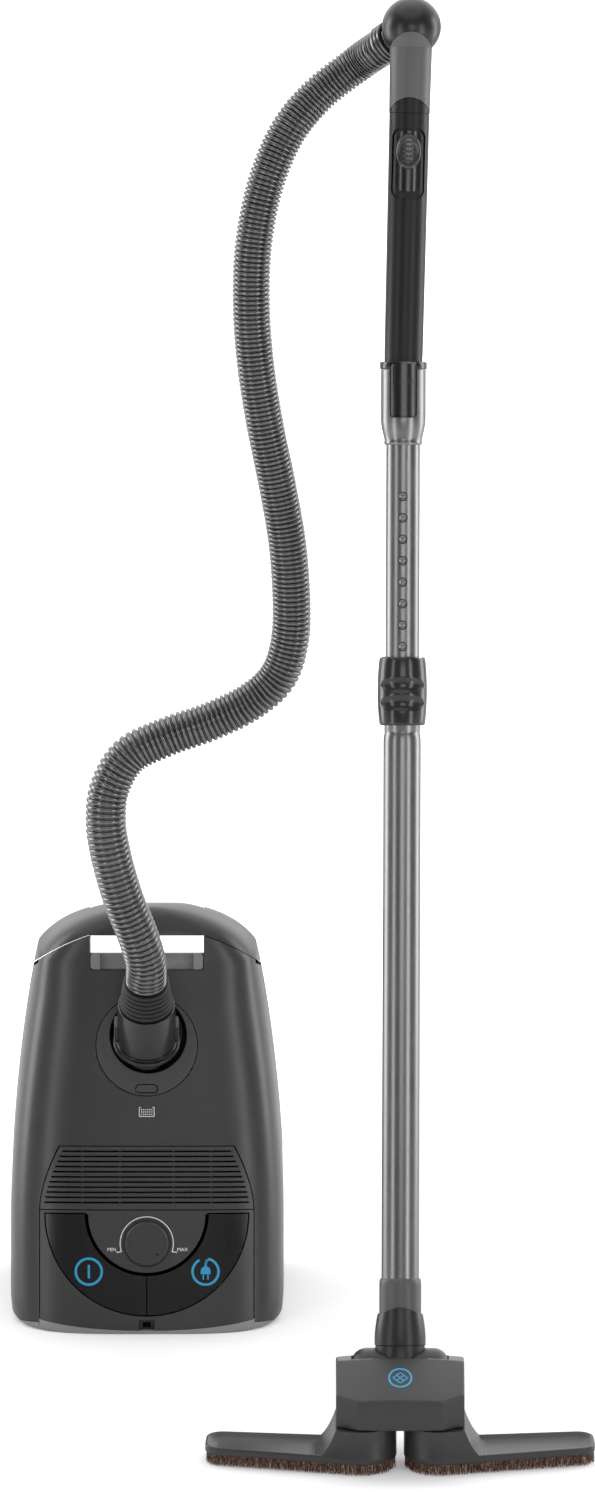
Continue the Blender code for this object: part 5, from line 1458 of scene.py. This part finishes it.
def block():
    """The nozzle's body: a sloping top with a slight crown over a chamfered front."""
    half, shoulder, back = BLOCK_HALF_WIDTH, BLOCK_FRONT_AT + BLOCK_CHAMFER, BLOCK_BACK
    plan = [(-half, shoulder), (-BLOCK_FRONT_HALF, BLOCK_FRONT_AT), (BLOCK_FRONT_HALF, BLOCK_FRONT_AT),
            (half, shoulder), (half, back), (-half, back)]
    columns = 24
    rows = [(-0.03, BLOCK_FRONT_TOP - 0.012), (0.0, BLOCK_FRONT_TOP), (BLOCK_CREST_BACK, BLOCK_CREST),
            (back + 0.02, BLOCK_BACK_TOP - 0.003)]
    rings = []
    for i in range(columns + 1):
        x = (2 * i / columns - 1) * (half + 0.01)
        crown = 0.0034 * (1 - (x / half) ** 2)
        rings.append([(x, -0.03, 0.03)] + [(x, y, up + crown) for y, up in rows] + [(x, back + 0.02, 0.03)])
    made = keep(prism(plan, BLOCK_BOTTOM, 0.13, NOZZLE, "Z"), loft(rings, NOZZLE))
    made = bevelled(made, 0.0028, 3, 25)
    reach = BARREL_HALF + 0.0006
    pocket = rod((-reach, PIVOT_BACK, PIVOT_HEIGHT), (reach, PIVOT_BACK, PIVOT_HEIGHT),
                 BARREL_RADIUS + 0.0007, NOZZLE, FINE)
    cut(made, pocket, box((-0.0262, PIVOT_BACK, 0.0570), (0.0262, 0.14, 0.14), NOZZLE),
        box((-0.0262, 0.060, 0.0960), (0.0262, 0.14, 0.14), NOZZLE))
    for side in (-1, 1):
        post = (side * TURRET_OFFSET, TURRET_RADIUS)
        cut(made, upright(0.03, 0.0600, POST_RADIUS, NOZZLE, spot=post),
            rod((side * 0.016, 0.042, 0.04), (side * 0.010, 0.066, 0.060), 0.0085, NOZZLE))
    return settle(made, "nozzle_body", "nozzle", "head", ["nozzle_block"], bevel=0.0004)


def bevelled(obj, width, segments, angle):
    """The same working object with its edges rounded for good, before anything else is cut from it."""
    soften(obj, width, segments, angle)
    mesh = as_it_looks(obj)
    drop(obj)
    return helper(mesh)


def wing_outline(side, inset, steps=FINE):
    """A wing's plan: the tangent outline round its turret and its tip."""
    circles = [(TURRET_OFFSET, TURRET_RADIUS, TURRET_RADIUS), *TIP_CIRCLES]
    points = []
    for x, y, radius in circles:
        ring = arc((x, y), radius - inset, 0, 360 - 360 / steps, steps - 1)
        points += [Vector((side * px, py)) for px, py in ring]
    return [points[i] for i in convex_hull_2d(points)]


def evenly_round(outline, count):
    """Points evenly spaced along a closed outline, starting at its rightmost point."""
    first = max(range(len(outline)), key=lambda i: outline[i][0])
    loop = [Vector((*outline[(first + i) % len(outline)], 0)) for i in range(len(outline) + 1)]
    return [(p.x, p.y) for p in evenly(loop, count + 1)[:-1]]


def wing(side, word):
    """A brush arm: a dished top with a raised rim, and a turret that flows into it."""
    low, count = ARM_BOTTOM, 160
    rings = []
    for inset, up in ((0.0006, low), (0, low + 0.0010), (0, ARM_TOP - 0.0012), (0.0006, ARM_TOP - 0.0002),
                      (0.0016, ARM_TOP), (0.0026, ARM_TOP - 0.0004), (0.0050, ARM_TOP - 0.0026),
                      (0.0090, ARM_TOP - 0.0046), (0.0130, ARM_TOP - 0.0054)):
        rings.append([(x, y, up) for x, y in evenly_round(wing_outline(side, inset), count)])
    made = loft(rings, NOZZLE)
    post = (side * TURRET_OFFSET, TURRET_RADIUS)
    low_end = ARM_TOP - 0.0058
    slope = [(BLOCK_HALF_WIDTH + 0.0004 + 0.030 * (i / 16),
              low_end + (TURRET_TOP - low_end) * (1 - i / 16) ** 2.8) for i in range(17)]
    side_view = [(0, 0.0125), (0, TURRET_TOP), *slope, (slope[-1][0], 0.0125)]
    turret = prism([(side * x, up) for x, up in side_view], -0.02, 0.10, NOZZLE)
    keep(turret, prism(wing_outline(side, 0.0001), 0, 0.06, NOZZLE, "Z"))
    duct_at = (side * 0.023, 0.040)
    cut(join(made, turret), prism(wing_outline(side, 0.0105, 32), 0, 0.0125, NOZZLE, "Z"),
        upright(0.02, 0.05, POST_RADIUS, NOZZLE, spot=post),
        upright(0.005, 0.05, 0.0075, NOZZLE, spot=duct_at))
    settle(made, f"brush_arm_{word}", "nozzle", f"{word}_wing", [f"wing_{word}"], bevel=0.0004, angle=40)


def bristles(side, word, rows=5, spacing=0.0013):
    """Rows of tapering hair tufts round the wing's rim, each with its own lean and length."""
    draw = random.Random(7 + side)
    shape = bmesh.new()
    for row in range(rows):
        inset = 0.0020 + 0.0015 * row
        outline = wing_outline(side, inset)
        length = sum((outline[i] - outline[i - 1]).length for i in range(len(outline)))
        for x, y in evenly_round(outline, int(length / spacing)):
            x += draw.uniform(-0.0005, 0.0005)
            y += draw.uniform(-0.0004, 0.0004)
            tip = Vector((x + draw.uniform(-0.0011, 0.0011), y + draw.uniform(-0.0011, 0.0011),
                          draw.uniform(0.0001, 0.0014)))
            wide, turn = draw.uniform(0.00045, 0.00075), draw.uniform(0, 2.1)
            root = Vector((x, y, BRISTLE_ROOT))
            low, high = [], []
            for k in range(3):
                out = Vector((math.cos(turn + 2.094 * k), math.sin(turn + 2.094 * k), 0))
                low.append(shape.verts.new(tip + out * wide * 0.45))
                high.append(shape.verts.new(root + out * wide))
            for k in range(3):
                shape.faces.new((low[k], low[(k + 1) % 3], high[(k + 1) % 3], high[k]))
            shape.faces.new(low)
            shape.faces.new(reversed(high))
    settle(as_helper(shape, NOZZLE), f"hair_{word}", "bristle", f"{word}_wing", [f"bristles_{word}"],
           bevel=0)


def nozzle_mark(body):
    """A plain tiled-floor sign in a ring, on the sloping top."""
    slope = math.atan2(BLOCK_CREST - BLOCK_FRONT_TOP, BLOCK_CREST_BACK)
    at = within(NOZZLE, (0, 0.0340, 0.0860), math.radians(-90) + slope)
    made = ring_band((0, 0), 0.0108, 0.0018)
    for x0, up0, x1, up1 in ((0, 0.0062, 0.0070, 0), (0.0070, 0, 0, -0.0062), (0, -0.0062, -0.0070, 0),
                             (-0.0070, 0, 0, 0.0062), (-0.0035, 0.0031, 0.0035, -0.0031),
                             (0.0035, 0.0031, -0.0035, -0.0031)):
        made += dashes(x0, up0, x1, up1, 0.0011)
    made = [[(x, up * 1.22) for x, up in polygon] for polygon in made]
    printed("floor_mark", made, "blue", "head", at, [body])


nozzle_joint()
nozzle_mark(block())
for hand, label in ((-1, "left"), (1, "right")):
    wing(hand, label)
    bristles(hand, label)
for leftover in list(HELPERS):
    drop(leftover)
